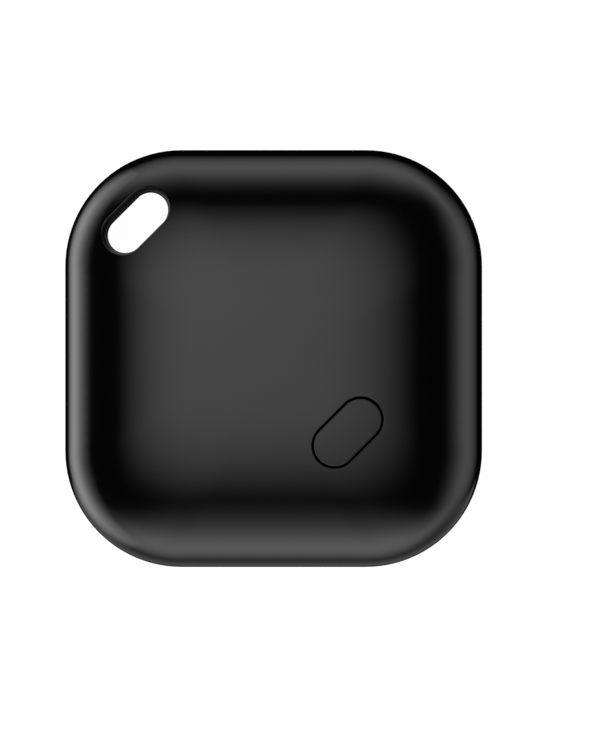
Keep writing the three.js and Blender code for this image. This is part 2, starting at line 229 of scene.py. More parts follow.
def side_card(name, azimuth, glow, angles, reach, gather):
    """A card on one side of the tag.

    angles, from straight up: where its light starts, is full, is still full, and ends.
    reach, round the tag from its middle: where its light is still full, and ends.
    gather: how strongly the light draws in above GATHER_BELOW, and past which angle it does so again.
    """
    start, full, still_full, end = angles
    near, far = reach
    power, past = gather
    middle = math.radians((start + end) / 2)

    def light_at(x, y):
        height = CARD_DISTANCE * math.cos(middle) + math.sin(middle) * y
        outward = CARD_DISTANCE * math.sin(middle) - math.cos(middle) * y
        sideways = x.math("ABSOLUTE")
        level = (outward * outward + sideways * sideways) ** 0.5
        angle = level.math("ARCTAN2", level, height).math("DEGREES")
        drawn_in = (GATHER_BELOW / angle.at_most(GATHER_BELOW)) ** power
        narrow = drawn_in * (angle.at_least(past) / past) ** 0.5
        swing = sideways.math("ARCTAN2", sideways, outward).math("DEGREES") * narrow
        return angle.ramp(start, full) * angle.ramp(end, still_full) * swing.ramp(far, near)

    height = 2 * CARD_DISTANCE * math.tan(math.radians((end - start) / 2))
    card = light_card(name, (2 * CARD_HALF_LENGTH, height), glow, light_at)
    turn = math.radians(azimuth)
    level = Vector((math.cos(turn), math.sin(turn), 0)) * math.sin(middle)
    outward = level + Vector((0, 0, math.cos(middle)))
    along = Vector((-math.sin(turn), math.cos(turn), 0))
    card.location = outward * CARD_DISTANCE * MM
    card.rotation_mode = "QUATERNION"
    facing = Matrix((along, outward.cross(along), outward)).transposed()
    card.rotation_quaternion = facing.to_quaternion()


OVERHEAD_HEIGHT = 900
OVERHEAD_SIZE = 900
OVERHEAD_TILT = (-3.2, 3.2)
OVERHEAD_GLOW = 1.7
OVERHEAD_ANGLES = (0.4, 20.0)


def overhead_light(x, y):
    light = 1.0
    for across in (x, y):
        angle = (across / OVERHEAD_HEIGHT).math("ARCTANGENT").math("DEGREES")
        light = light * angle.math("ABSOLUTE").ramp(OVERHEAD_ANGLES[1], OVERHEAD_ANGLES[0])
    return light


overhead = light_card("overhead_card", (OVERHEAD_SIZE, OVERHEAD_SIZE), OVERHEAD_GLOW, overhead_light)
tilt_x, tilt_y = (math.tan(math.radians(tilt)) for tilt in OVERHEAD_TILT)
overhead.location = [OVERHEAD_HEIGHT * MM * share for share in (tilt_x, tilt_y, 1)]
side_card("left_card", 180, 5.35, (41, 85, 74, 128), (24, 77), (0.75, 75))
side_card("right_card", 0, 1.49, (29, 60, 57, 114), (20, 70), (0.75, 60))
side_card("top_card", 90, 1.83, (25, 58, 53, 106), (20, 66), (0.75, 60))
side_card("bottom_card", 270, 2.27, (12.5, 52.5, 54, 100), (20, 62), (0.45, 70))
side_card("low_card", 270, 0.46, (66, 108, 130, 160), (60, 110), (0, 180))

FLOOR_SIZE = 3000
FLOOR_BELOW = 0.02
FLOOR_GLOW = 0.98
FLOOR_COLOUR = (0.12, 0.12, 0.12, 1)
AIR_GLOW = 0.004
WHITE = (1, 1, 1, 1)

floor_material, floor_sheet = new_material("floor_paper")
floor_glow = floor_sheet.add("ShaderNodeEmission", None, {"Color": WHITE, "Strength": FLOOR_GLOW})
floor_paper = floor_sheet.add("ShaderNodeBsdfDiffuse", None, {"Color": FLOOR_COLOUR})
floor_both = floor_sheet.add("ShaderNodeAddShader", None, {0: floor_glow, 1: floor_paper})
floor_sheet.add("ShaderNodeOutputMaterial", None, {"Surface": floor_both})

bpy.ops.mesh.primitive_plane_add(size=FLOOR_SIZE * MM, location=(0, 0, -FLOOR_BELOW * MM))
floor = bpy.context.object
floor.name = "floor"
floor.data.materials.append(floor_material)
floor.visible_glossy = False
floor.visible_diffuse = False
floor.visible_shadow = False
floor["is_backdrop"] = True

world = bpy.data.worlds.new("studio_air")
scene.world = world
world.use_nodes = True
world.node_tree.nodes.clear()
air = Sheet(world.node_tree)
seen_by_camera = air.add("ShaderNodeLightPath", output="Is Camera Ray")
dim_air = air.add("ShaderNodeBackground", None, {"Color": WHITE, "Strength": AIR_GLOW})
white_air = air.add("ShaderNodeBackground", None, {"Color": WHITE, "Strength": 1.0})
air_mix = air.add("ShaderNodeMixShader", None, {0: seen_by_camera, 1: dim_air, 2: white_air})
air.add("ShaderNodeOutputWorld", None, {"Surface": air_mix})

# ---- Front shell ----
# The pillow-shaped cover, injection moulded in black plastic with a satin, very finely textured surface.
# Its height is a superellipse over scaled copies of the rounded-square outline. A tube for the lanyard
# and a collar for the button are moulded into it, and its tongue goes into the rear shell's rim.

SIDE = 38.0
CORNER_RADIUS = 10.6
CORNER_CENTRE = SIDE / 2 - CORNER_RADIUS
THICKNESS = 8.0
FRONT_SEAM_Z = 3.05
ROOF = 1.1
SIDE_WALL = 1.7
TONGUE_INSETS = (1.0, 1.72)
TONGUE_Z = (1.95, 3.3)
EDGE_ROUND = 0.12
RIM_SPREAD = 0.91  # the rounded rim is made of even rings outside this share of the outline
FRONT_RULE = {"rim": PARTING_Z, "height": THICKNESS - PARTING_Z, "fullness": 3.5, "flat": 0.0}
CAVITY_RULE = {"rim": PARTING_Z, "height": THICKNESS - ROOF - PARTING_Z, "fullness": 3.5, "flat": 0.0}
CAVITY_SPREADS = (1.0, 0.06)
CAVITY_STEP = 0.45
CAVITY_WIDTH = 1 - 2 * SIDE_WALL / SIDE

SLOT = {"x": -12.46, "y": 12.46, "half": 1.62}
SLOT_RADIUS = 1.93
SLOT_LIP = (0.14, 30)  # how wide a hole's rounded lip is, and the degrees through which it turns
SLOT_TUBE_RADIUS = 3.0
SLOT_TUBE_EASE = 0.02  # the tube ends this much inside the bore that the cavity leaves for it
SLOT_FOOT_RADIUS = 2.7
SLOT_FOOT_Z = (1.65, 2.0)
BUTTON = {"x": 6.7, "y": -6.7, "half": 1.66}
BUTTON_PLACE = (BUTTON["x"], BUTTON["y"])
APERTURE_RADIUS = 2.1
APERTURE_LIP = (0.06, 90)
COLLAR_RADIUS = 3.4
COLLAR_BOTTOM = 5.4
POCKET_RADIUS = 2.75
POCKET_Z = (4.9, 6.4)
BUZZER = (6.0, 5.5)
SEAT_RADII = (5.8, 7.3)
SEAT_BOTTOM = 6.3

ARC_STEPS = 24
STRAIGHT_STEPS = 28
CAPSULE_ARC_STEPS = 28
CAPSULE_STRAIGHT_STEPS = 8
LIP_STEPS = 5
EDGE_STEPS = 4
RING_STEP = 0.22
GRID_STEP = 0.6
GRID_EDGES = (0.02, 0.004)  # how far inside the rings, as a share, the even grid and all points stay
GUARD_STEPS = (0.12, 0.3, 0.55)
GUARD_GAP = 0.25
PROFILE_SAMPLES = 4001
UPRIGHT = 0.1  # a face whose normal's height is under this is a wall
LEVEL = 0.9  # and one whose normal's height is over this is a top or an underside
WELD = 1e-3
TINY = 1e-9
ABOVE_ALL = 12.0


def arc_points(centre_x, centre_y, radius, start, end, steps):
    """Points along an arc, without its last one. Angles are in degrees."""
    angles = np.radians(np.linspace(start, end, steps, endpoint=False))
    return np.stack([centre_x + radius * np.cos(angles), centre_y + radius * np.sin(angles)], axis=1)


def line_points(start, end, steps):
    """Points along a line, without its last one."""
    share = np.linspace(0, 1, steps, endpoint=False)[:, None]
    return np.array(start) * (1 - share) + np.array(end) * share


def turned(points, degrees):
    """Flat points turned about the origin."""
    turn = math.radians(degrees)
    return points @ np.array([[math.cos(turn), math.sin(turn)], [-math.sin(turn), math.cos(turn)]])


def square_loop(inset=0.0, scale=1.0):
    """The tag's rounded-square outline, moved in by inset all round, and then scaled."""
    edge = SIDE / 2 - inset
    side = line_points((edge, -CORNER_CENTRE), (edge, CORNER_CENTRE), STRAIGHT_STEPS)
    corner = arc_points(CORNER_CENTRE, CORNER_CENTRE, CORNER_RADIUS - inset, 0, 90, ARC_STEPS)
    quarter = np.concatenate([side, corner])
    return np.concatenate([turned(quarter, 90 * i) for i in range(4)]) * scale


def capsule_loop(place, radius):
    """A capsule's outline, with its long axis at 45 degrees, round the place's centre."""
    half = place["half"]
    loop = np.concatenate([
        arc_points(half, 0, radius, -90, 90, CAPSULE_ARC_STEPS),
        line_points((half, radius), (-half, radius), CAPSULE_STRAIGHT_STEPS),
        arc_points(-half, 0, radius, 90, 270, CAPSULE_ARC_STEPS),
        line_points((-half, -radius), (half, -radius), CAPSULE_STRAIGHT_STEPS),
    ])
    return turned(loop, 45) + (place["x"], place["y"])


def circle_loop(centre, radius, steps=64):
    return arc_points(centre[0], centre[1], radius, 0, 360, steps)


def capsule_distance(points, place):
    """How far each point lies from the middle line of a capsule."""
    offset = turned(points - (place["x"], place["y"]), -45)
    beyond = np.maximum(np.abs(offset[:, 0]) - place["half"], 0)
    return np.hypot(beyond, offset[:, 1])


def spread_of(points):
    """The scale at which the tag's outline passes through each point."""
    x, y = np.abs(np.asarray(points, float)).T
    wide = np.maximum(x, y) / (SIDE / 2)
    square = 2 * CORNER_CENTRE**2 - CORNER_RADIUS**2
    linear = -2 * CORNER_CENTRE * (x + y)
    plain = x * x + y * y
    root = np.sqrt(np.maximum(linear**2 - 4 * square * plain, 0))
    corner = (-linear - root) / (2 * square)
    in_corner = np.minimum(x, y) > CORNER_CENTRE * wide
    return np.where(in_corner, corner, wide)


def rule_across(spread, rule):
    """How far over a pillow face's curved part each spread lies."""
    return np.clip((spread - rule["flat"]) / (1 - rule["flat"]), 0, 1)


def rule_height(spread, rule):
    """The height of a pillow face where the outline's share is spread."""
    power = rule["fullness"]
    return rule["rim"] + rule["height"] * (1 - rule_across(spread, rule) ** power) ** (1 / power)


def rule_normals(points, rule):
    """The outward normals of a pillow face over flat points."""
    spread = spread_of(points)
    corner = np.sign(points) * CORNER_CENTRE * spread[:, None]
    outward = points - corner
    x, y = np.abs(points).T
    on_side = np.minimum(x, y) <= CORNER_CENTRE * spread
    along_x = x >= y
    outward[on_side & along_x, 1] = 0
    outward[on_side & ~along_x, 0] = 0
    outward /= np.maximum(np.linalg.norm(outward, axis=1), TINY)[:, None]
    reach = np.maximum((outward * points).sum(axis=1), TINY)
    slope = outward * (spread / reach)[:, None]
    across = rule_across(spread, rule)
    power = rule["fullness"]
    sideways = abs(rule["height"]) * across ** (power - 1) / (1 - rule["flat"])
    upward = np.sign(rule["height"]) * (1 - across**power) ** (1 - 1 / power)
    normals = np.column_stack([slope * sideways[:, None], upward])
    return normals / np.linalg.norm(normals, axis=1)[:, None]


def ring_spreads(rule, first, last, step=RING_STEP):
    """Shares of the outline from first down to last, at even steps along the face's profile."""
    fine = first - np.linspace(0, 1, PROFILE_SAMPLES) ** 3 * (first - last)
    run = np.hypot(np.diff(fine) * SIDE / 2, np.diff(rule_height(fine, rule)))
    travelled = np.concatenate([[0], np.cumsum(run)])
    count = max(2, math.ceil(travelled[-1] / step))
    return np.interp(np.linspace(0, travelled[-1], count + 1), travelled, fine)


class Draft:
    """A mesh that is being drawn from loops of points, in millimetres."""

    def __init__(self):
        self.points = []
        self.faces = []
        self.drops = []

    def loop(self, flat, z=0.0, drop=0.0):
        """Adds a loop of points and gives their numbers. z is one height, or one for each point."""
        first = len(self.points)
        self.points += [(x, y, h) for (x, y), h in zip(flat, np.broadcast_to(z, len(flat)))]
        self.drops += [drop] * len(flat)
        return list(range(first, len(self.points)))

    def band(self, one, other):
        """Joins two loops of as many points with four-sided faces."""
        for i in range(len(one)):
            j = (i + 1) % len(one)
            self.faces.append((one[i], one[j], other[j], other[i]))

    def chain(self, loops):
        """Adds loops of (outline, z) or (outline, z, drop), each joined to the next."""
        made = [self.loop(*loop) for loop in loops]
        for one, other in zip(made, made[1:]):
            self.band(one, other)
        return made

    def fill(self, outer, holes=(), z=0.0, inner=None):
        """Triangles between an outer loop and the holes' loops, with corners at the inner points too."""
        loops = [outer, *holes]
        ends = np.cumsum([len(loop) for loop in loops])
        areas = [list(range(end - len(loop), end)) for loop, end in zip(loops, ends)]
        field = loops if inner is None else [*loops, inner]
        flat = [Vector(point) for point in np.concatenate(field)]
        points, _, faces, _, _, areas_of = delaunay_2d_cdt(flat, [], areas, 0, 1e-7)
        numbers = self.loop(np.array([tuple(point) for point in points]), z)
        for face, inside in zip(faces, areas_of):
            if set(inside) == {0}:
                self.faces.append(tuple(numbers[i] for i in face))

    def take(self, mesh):
        """Adds another mesh's points and faces."""
        first = len(self.points)
        self.points += [tuple(v.co) for v in mesh.vertices]
        self.drops += [0.0] * len(mesh.vertices)
        self.faces += [tuple(first + i for i in face.vertices) for face in mesh.polygons]

    def plain_mesh(self, name):
        mesh = bpy.data.meshes.new(name)
        mesh.from_pydata([tuple(float(c) for c in point) for point in self.points], [], self.faces)
        return mesh

    def solid(self, name):
        """The closed, outward-facing mesh, with its doubles merged."""
        mesh = self.plain_mesh(name)
        work = bmesh.new()
        work.from_mesh(mesh)
        bmesh.ops.remove_doubles(work, verts=work.verts, dist=WELD)
        loose = [v for v in work.verts if not v.link_faces]
        bmesh.ops.delete(work, geom=loose, context="VERTS")
        bmesh.ops.recalc_face_normals(work, faces=work.faces)
        work.to_mesh(mesh)
        work.free()
        return mesh


def stacked(name, loops):
    """A closed solid through loops of (outline, z), with a flat face at each end."""
    draft = Draft()
    made = draft.chain(loops)
    draft.faces += [tuple(made[0]), tuple(made[-1])]
    return draft.solid(name)


def prism(name, outline, bottom, top=ABOVE_ALL):
    return stacked(name, [(outline, bottom), (outline, top)])


def tube(name, outer, inner, bottom, top):
    """A ring-shaped solid between two outlines of as many points."""
    draft = Draft()
    made = draft.chain([(outer, bottom), (outer, top), (inner, top), (inner, bottom)])
    draft.band(made[-1], made[0])
    return draft.solid(name)


def linked(name, mesh):
    piece = bpy.data.objects.new(name, mesh)
    scene.collection.objects.link(piece)
    return piece


def evaluated_mesh(piece):
    """The piece's mesh with its modifiers applied. The piece itself is removed."""
    bpy.context.view_layer.update()
    graph = bpy.context.evaluated_depsgraph_get()
    mesh = bpy.data.meshes.new_from_object(piece.evaluated_get(graph))
    bpy.data.objects.remove(piece)
    return mesh


def carved(mesh, steps):
    """The mesh after a list of (operation, other mesh) steps, each done as a boolean."""
    for operation, other in steps:
        piece = linked("carving", mesh)
        tool = linked("carving_tool", other)
        boolean = piece.modifiers.new("carve", "BOOLEAN")
        boolean.operation = operation
        boolean.solver = "MANIFOLD"
        boolean.object = tool
        mesh = evaluated_mesh(piece)
        bpy.data.objects.remove(tool)
    return mesh


def shaping_tree(name, inputs, shape):
    """A geometry node tree. shape(sheet, *inputs) makes its nodes and gives the geometry it returns."""
    tree = bpy.data.node_groups.new(name, "GeometryNodeTree")
    for label, kind in inputs.items():
        tree.interface.new_socket(label, in_out="INPUT", socket_type="NodeSocket" + kind)
    tree.interface.new_socket("made", in_out="OUTPUT", socket_type="NodeSocketGeometry")
    entry = tree.nodes.new("NodeGroupInput")
    made = shape(Sheet(tree), *(Flow(tree, entry.outputs[i]) for i in range(len(inputs))))
    join(tree, tree.nodes.new("NodeGroupOutput").inputs[0], made)
    return tree


def shaped(mesh, tree, values):
    """The mesh that a tree makes of a mesh and the values of the tree's inputs."""
    piece = linked("shaping", mesh)
    modifier = piece.modifiers.new("shape", "NODES")
    modifier.node_group = tree
    names = {item.name: item.identifier for item in tree.interface.items_tree}
    for label, value in values.items():
        modifier[names[label]] = value
    return evaluated_mesh(piece)


def marked(mesh, name, kind, values):
    """Gives a mesh's points an attribute."""
    attribute = mesh.attributes.new(name, kind, "POINT")
    field = "vector" if kind == "FLOAT_VECTOR" else "value"
    attribute.data.foreach_set(field, np.asarray(values, float).ravel())


def mark_of(sheet, name, kind="FLOAT"):
    return sheet.add("GeometryNodeInputNamedAttribute", {"data_type": kind}, {"Name": name})


def pillow_shape(sheet, plan, rim, height, fullness, flat):
    """Lifts a flat plan: each point goes to its height under the pillow rule, less its drop."""
    across = ((mark_of(sheet, "spread") - flat) / (1 - flat)).at_least(0.0).at_most(1.0)
    lift = rim + height * (1 - across**fullness).at_least(0.0) ** (1 / fullness) - mark_of(sheet, "drop")
    offset = sheet.add("ShaderNodeCombineXYZ", None, {"Z": lift})
    return sheet.add("GeometryNodeSetPosition", None, {"Geometry": plan, "Offset": offset})


PILLOW_TREE = shaping_tree("pillow_rule", {
    "plan": "Geometry",
    "rim": "Float",
    "height": "Float",
    "fullness": "Float",
    "flat": "Float",
}, pillow_shape)


def lifted(draft, rule, widest=1.0):
    """A flat draft as a mesh on the pillow face that the rule gives."""
    mesh = draft.plain_mesh("plan")
    flat = np.array([point[:2] for point in draft.points])
    marked(mesh, "spread", "FLOAT", spread_of(flat) / widest)
    marked(mesh, "drop", "FLOAT", draft.drops)
    made = shaped(mesh, PILLOW_TREE, rule)
    for name in ("spread", "drop"):
        made.attributes.remove(made.attributes[name])
    return made


def grid_points(limit_spread, holes):
    """A field of points in staggered rows inside the tag's outline, clear of the holes' guard loops."""
    rows = []
    height = GRID_STEP * math.sqrt(3) / 2
    count = int(SIDE / 2 / height) + 1
    for row in range(-count, count + 1):
        x = np.arange(-SIDE / 2, SIDE / 2, GRID_STEP) + (GRID_STEP / 2 if row % 2 else 0)
        rows.append(np.stack([x, np.full(len(x), row * height)], axis=1))
    points = np.concatenate(rows)
    points = points[spread_of(points) < limit_spread]
    for place, radius, lip in holes:
        clear = radius + lip[0] + GUARD_STEPS[-1] + GUARD_GAP
        points = points[capsule_distance(points, place) > clear]
    return points


def lip_round(lip, share=1.0):
    """How far in and how far down a lip has gone at a share of its turn."""
    width, turn = lip
    curve = width / math.sin(math.radians(turn))
    angle = math.radians(turn * share)
    return curve * math.sin(angle), curve * (1 - math.cos(angle))


def lip_loops(place, radius, lip, sign):
    """Loops that round a hole's edge over, from the face down into its wall, as (outline, z, drop)."""
    loops = []
    for i in range(LIP_STEPS + 1):
        inward, down = lip_round(lip, i / LIP_STEPS)
        loops.append((capsule_loop(place, radius + lip[0] - inward), 0.0, sign * down))
    return loops


def pillow_skin(rule, first_spread, holes):
    """A pillow face with rounded holes: even rings at its rim, and a field of triangles inside them."""
    sign = 1 if rule["height"] > 0 else -1
    draft = Draft()
    spreads = ring_spreads(rule, first_spread, RIM_SPREAD)
    draft.chain([(square_loop(scale=spread), 0.0) for spread in spreads])
    edges = []
    guards = []
    for place, radius, lip in holes:
        loops = lip_loops(place, radius, lip, sign)
        draft.chain(loops)
        edges.append(loops[0][0])
        guards += [capsule_loop(place, radius + lip[0] + step) for step in GUARD_STEPS]
    inner = np.concatenate([grid_points(RIM_SPREAD - GRID_EDGES[0], holes), *guards])
    inner = inner[spread_of(inner) < RIM_SPREAD - GRID_EDGES[1]]
    draft.fill(square_loop(scale=spreads[-1]), edges, inner=inner)
    return lifted(draft, rule)


def wall_top(place, radius, lip, rule):
    """The outline on which a hole's rounded lip meets its wall, and its heights."""
    edge = capsule_loop(place, radius)
    return edge, rule_height(spread_of(edge), rule) - math.copysign(lip_round(lip)[1], rule["height"])


def edge_round(z, sign):
    """Loops that round the seam's outer edge over, from the side wall to the flat seam face at z."""
    loops = []
    for i in range(EDGE_STEPS + 1):
        angle = math.radians(90 * i / EDGE_STEPS)
        outline = square_loop(inset=EDGE_ROUND * (1 - math.cos(angle)))
        loops.append((outline, z + sign * EDGE_ROUND * (1 - math.sin(angle))))
    return loops


def smoothed(mesh, angle=35):
    mesh.shade_smooth()
    mesh.set_sharp_from_angle(angle=math.radians(angle))
    return mesh


def read(items, field, kind=float, width=1):
    """One field of all of a mesh's items, as an array."""
    values = np.zeros(len(items) * width, kind)
    items.foreach_get(field, values)
    return values.reshape(-1, width) if width > 1 else values


SHELL_SHARP = 38  # degrees
FACE_TOLERANCE = 0.004  # how near a pillow face a point has to be to take its exact normal
RIM_FROM = 0.9995  # outside this share of the outline, RIM_REACH is near enough in height
RIM_REACH = 0.4
AGREEMENT = 0.8  # how far a corner's own normal has to agree with the exact one


def with_face_normals(mesh, rule):
    """Gives the corners that lie on a pillow face its exact normals. The mesh is in millimetres."""
    smoothed(mesh, SHELL_SHARP)
    points = read(mesh.vertices, "co", width=3)
    corners = read(mesh.loops, "vertex_index", int)
    sizes = read(mesh.polygons, "loop_total", int)
    corner_faces = np.repeat(read(mesh.polygons, "normal", width=3), sizes, axis=0)
    spread = spread_of(points[:, :2])
    exact = rule_normals(points[:, :2], rule)
    over_rim = points[:, 2] - rule["rim"]
    on_face = np.abs(points[:, 2] - rule_height(spread, rule)) < FACE_TOLERANCE
    on_side = (spread > RIM_FROM) & (over_rim * rule["height"] > 0) & (np.abs(over_rim) < RIM_REACH)
    on_face |= on_side
    agree = (exact[corners] * corner_faces).sum(axis=1) > AGREEMENT
    chosen = on_face[corners] & agree
    normals = np.zeros((len(corners), 3))
    normals[chosen] = exact[corners][chosen]
    mesh.normals_split_custom_set(normals)
    return mesh


def finished(name, mesh, materials, slot, *nodes, body="rear_half", smooth=35):
    """Puts a mesh in millimetres into the model in metres, on its body, in place of its CAD nodes."""
    if smooth:
        smoothed(mesh, smooth)
    mesh.transform(Matrix.Scale(MM, 4))
    mesh.name = name
    chosen = read(mesh.polygons, "material_index", int)
    mesh.materials.clear()
    for material in materials:
        mesh.materials.append(material)
    mesh.polygons.foreach_set("material_index", np.minimum(chosen, len(materials) - 1))
    piece = linked(name, mesh)
    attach(piece, body)
    if nodes:
        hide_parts(*nodes)
    return piece


def moulded_plastic(name, colour, roughness, texture_depth):
    """Black plastic from a spark-textured mould: an even satin with very fine grain."""
    material, sheet = new_material(name)
    grain = sheet.noise(0.07)
    blotch = sheet.noise(6.0, detail=4.0)
    tint = sheet.mix(blotch, [c * 0.85 for c in colour], [c * 1.15 for c in colour])
    shine = roughness + 0.05 * (grain - 0.5) + 0.03 * (blotch - 0.5)
    sheet.surface(tint, shine, (texture_depth, grain), IOR=1.5)
    return material


# The slot's walls are rougher than the face: the core pin that forms them is not textured with it.
BLACK = (0.0008, 0.0008, 0.0008)
shell_plastic = moulded_plastic("shell_plastic", BLACK, 0.12, 0.0005)
cored_plastic = moulded_plastic("cored_plastic", BLACK, 0.9, 0.004)

power = FRONT_RULE["fullness"]
first_height = (FRONT_SEAM_Z + EDGE_ROUND - PARTING_Z) / FRONT_RULE["height"]
first_spread = (1 - first_height**power) ** (1 / power)
front = Draft()
front.take(pillow_skin(FRONT_RULE, first_spread, [
    (SLOT, SLOT_RADIUS, SLOT_LIP),
    (BUTTON, APERTURE_RADIUS, APERTURE_LIP),
]))
front.chain(edge_round(FRONT_SEAM_Z, 1))
slot_edge, slot_heights = wall_top(SLOT, SLOT_RADIUS, SLOT_LIP, FRONT_RULE)
foot_low, foot_high = SLOT_FOOT_Z
foot_side = capsule_loop(SLOT, SLOT_FOOT_RADIUS)
tube_side = capsule_loop(SLOT, SLOT_TUBE_RADIUS - SLOT_TUBE_EASE)
front.chain([
    (slot_edge, slot_heights),
    (slot_edge, foot_low),
    (foot_side, foot_low),
    (foot_side, foot_high),
    (tube_side, foot_high),
    (tube_side, FRONT_SEAM_Z),
])
aperture_edge, aperture_heights = wall_top(BUTTON, APERTURE_RADIUS, APERTURE_LIP, FRONT_RULE)
front.chain([(aperture_edge, aperture_heights), (aperture_edge, FRONT_SEAM_Z)])
front.fill(square_loop(inset=EDGE_ROUND), [tube_side, aperture_edge], FRONT_SEAM_Z)

cavity_plan = Draft()
cavity_spreads = ring_spreads(CAVITY_RULE, *CAVITY_SPREADS, CAVITY_STEP)
cavity_loops = cavity_plan.chain([(square_loop(scale=CAVITY_WIDTH * s), 0.0) for s in cavity_spreads])
cavity_plan.faces.append(tuple(cavity_loops[-1]))
cavity = Draft()
cavity.take(lifted(cavity_plan, CAVITY_RULE, CAVITY_WIDTH))
cavity_rim = square_loop(scale=CAVITY_WIDTH)
cavity_walls = cavity.chain([(cavity_rim, PARTING_Z), (cavity_rim, PARTING_Z - 1)])
cavity.faces.append(tuple(cavity_walls[-1]))

seat_inner, seat_outer = (circle_loop(BUZZER, radius) for radius in SEAT_RADII)
hollow = carved(cavity.solid("cavity"), [
    ("DIFFERENCE", prism("slot_tube", capsule_loop(SLOT, SLOT_TUBE_RADIUS), 0)),
    ("DIFFERENCE", prism("collar", capsule_loop(BUTTON, COLLAR_RADIUS), COLLAR_BOTTOM)),
    ("DIFFERENCE", tube("seat", seat_outer, seat_inner, SEAT_BOTTOM, ABOVE_ALL)),
    ("UNION", prism("pocket", capsule_loop(BUTTON, POCKET_RADIUS), *POCKET_Z)),
])
tongue = tube("tongue", *(square_loop(inset=inset) for inset in TONGUE_INSETS), *TONGUE_Z)
front_mesh = carved(front.solid("front_shell"), [("DIFFERENCE", hollow), ("UNION", tongue)])
with_face_normals(front_mesh, FRONT_RULE)
for face in front_mesh.polygons:
    upright = abs(face.normal.z) < UPRIGHT
    in_slot = capsule_distance(np.array([face.center[:2]]), SLOT)[0] < SLOT_RADIUS + WELD
    face.material_index = 1 if upright and in_slot else 0
finished("front_cover", front_mesh, [shell_plastic, cored_plastic], "shell_plastic", "front_shell",
         body="front_half", smooth=None)

# ---- Rear shell ----
# The tray that the board is screwed into, in the same plastic. Its back is flat with a rounded edge, and
# a small notch under the seam on the right takes a coin or a fingernail to pry the tag open.

REAR_SEAM_Z = 2.95
BACK_EDGE_WIDTH = 2.6
BACK_EDGE_HEIGHT = 2.7
BACK_FLAT = 1 - 2 * BACK_EDGE_WIDTH / SIDE
BACK_RULE = {"rim": BACK_EDGE_HEIGHT, "height": -BACK_EDGE_HEIGHT, "fullness": 2.0, "flat": BACK_FLAT}
REAR_HOLE_RADIUS = 1.64
REAR_HOLE_LIP = (0.12, 90)
FLOOR_Z = 0.9
FLOOR_INSET = 1.9
LEDGE_Z = 1.5
LEDGE_INSET = 0.9
SLOT_LEDGE_Z = 1.6
LEDGE_FLARES = ((-0.05, SLOT_LEDGE_Z - 0.12), (0.12, SLOT_LEDGE_Z + 0.05))
BOARD_Z = (1.15, 1.95)
SCREW_PLACES = ((12.4, 12.4), (12.4, -12.4), (-12.4, -12.4))
BOSS_RADIUS = 1.5
PILOT_RADIUS = 0.6
PILOT_BOTTOM = 0.3
NOTCH = {"length": 5.0, "depth": 0.7, "bottom": 2.2}
NOTCH_CORNERS = ((1, -1), (1, 1), (-1, 0.86), (-1, -0.86))

rear = Draft()
rear.take(pillow_skin(BACK_RULE, 1.0, [(SLOT, REAR_HOLE_RADIUS, REAR_HOLE_LIP)]))
rear.chain([(square_loop(), BACK_EDGE_HEIGHT), (square_loop(), REAR_SEAM_Z - EDGE_ROUND)])
rear.chain(edge_round(REAR_SEAM_Z, -1))
rear_edge, rear_heights = wall_top(SLOT, REAR_HOLE_RADIUS, REAR_HOLE_LIP, BACK_RULE)
rear.chain([(rear_edge, rear_heights), (rear_edge, REAR_SEAM_Z)])
rear.fill(square_loop(inset=EDGE_ROUND), [rear_edge], REAR_SEAM_Z)
tray = carved(prism("tray", square_loop(inset=LEDGE_INSET), LEDGE_Z), [
    ("UNION", prism("tray_floor", square_loop(inset=FLOOR_INSET), FLOOR_Z, LEDGE_Z + 1)),
    ("DIFFERENCE", prism("slot_boss", capsule_loop(SLOT, SLOT_FOOT_RADIUS), 0, SLOT_LEDGE_Z)),
])
ledge_flare = [(capsule_loop(SLOT, REAR_HOLE_RADIUS + wider), z) for wider, z in LEDGE_FLARES]
notch = np.array([(SIDE / 2 + x * NOTCH["depth"], y * NOTCH["length"] / 2) for x, y in NOTCH_CORNERS])
rear_steps = [
    ("DIFFERENCE", tray),
    ("DIFFERENCE", stacked("ledge_flare", ledge_flare)),
    ("DIFFERENCE", prism("notch", notch, NOTCH["bottom"])),
]
for place in SCREW_PLACES:
    boss = prism("boss", circle_loop(place, BOSS_RADIUS, 40), FLOOR_Z / 2, BOARD_Z[0])
    pilot = prism("pilot", circle_loop(place, PILOT_RADIUS, 24), PILOT_BOTTOM)
    rear_steps += [("UNION", boss), ("DIFFERENCE", pilot)]
rear_mesh = with_face_normals(carved(rear.solid("rear_shell"), rear_steps), BACK_RULE)
finished("rear_tray", rear_mesh, [shell_plastic], "shell_plastic", "rear_shell", smooth=None)

# ---- Push button ----
# The capsule-shaped key, moulded in the same plastic, whose top carries on the front's curve. A flange
# holds it in the collar, and a stem under it goes through the silicone membrane to the switch.

KEY_RADIUS = 1.87
KEY_LIP = 0.1
KEY_TOP_RADIUS = KEY_RADIUS - KEY_LIP
FLANGE_RADIUS = 2.55
FLANGE_Z = (6.05, 6.35)
ROOT_HEIGHT = 0.45  # the sloping root that joins the key's wall to its flange
STEM_RADIUS = 1.0
STEM_Z = (4.45, 6.2)

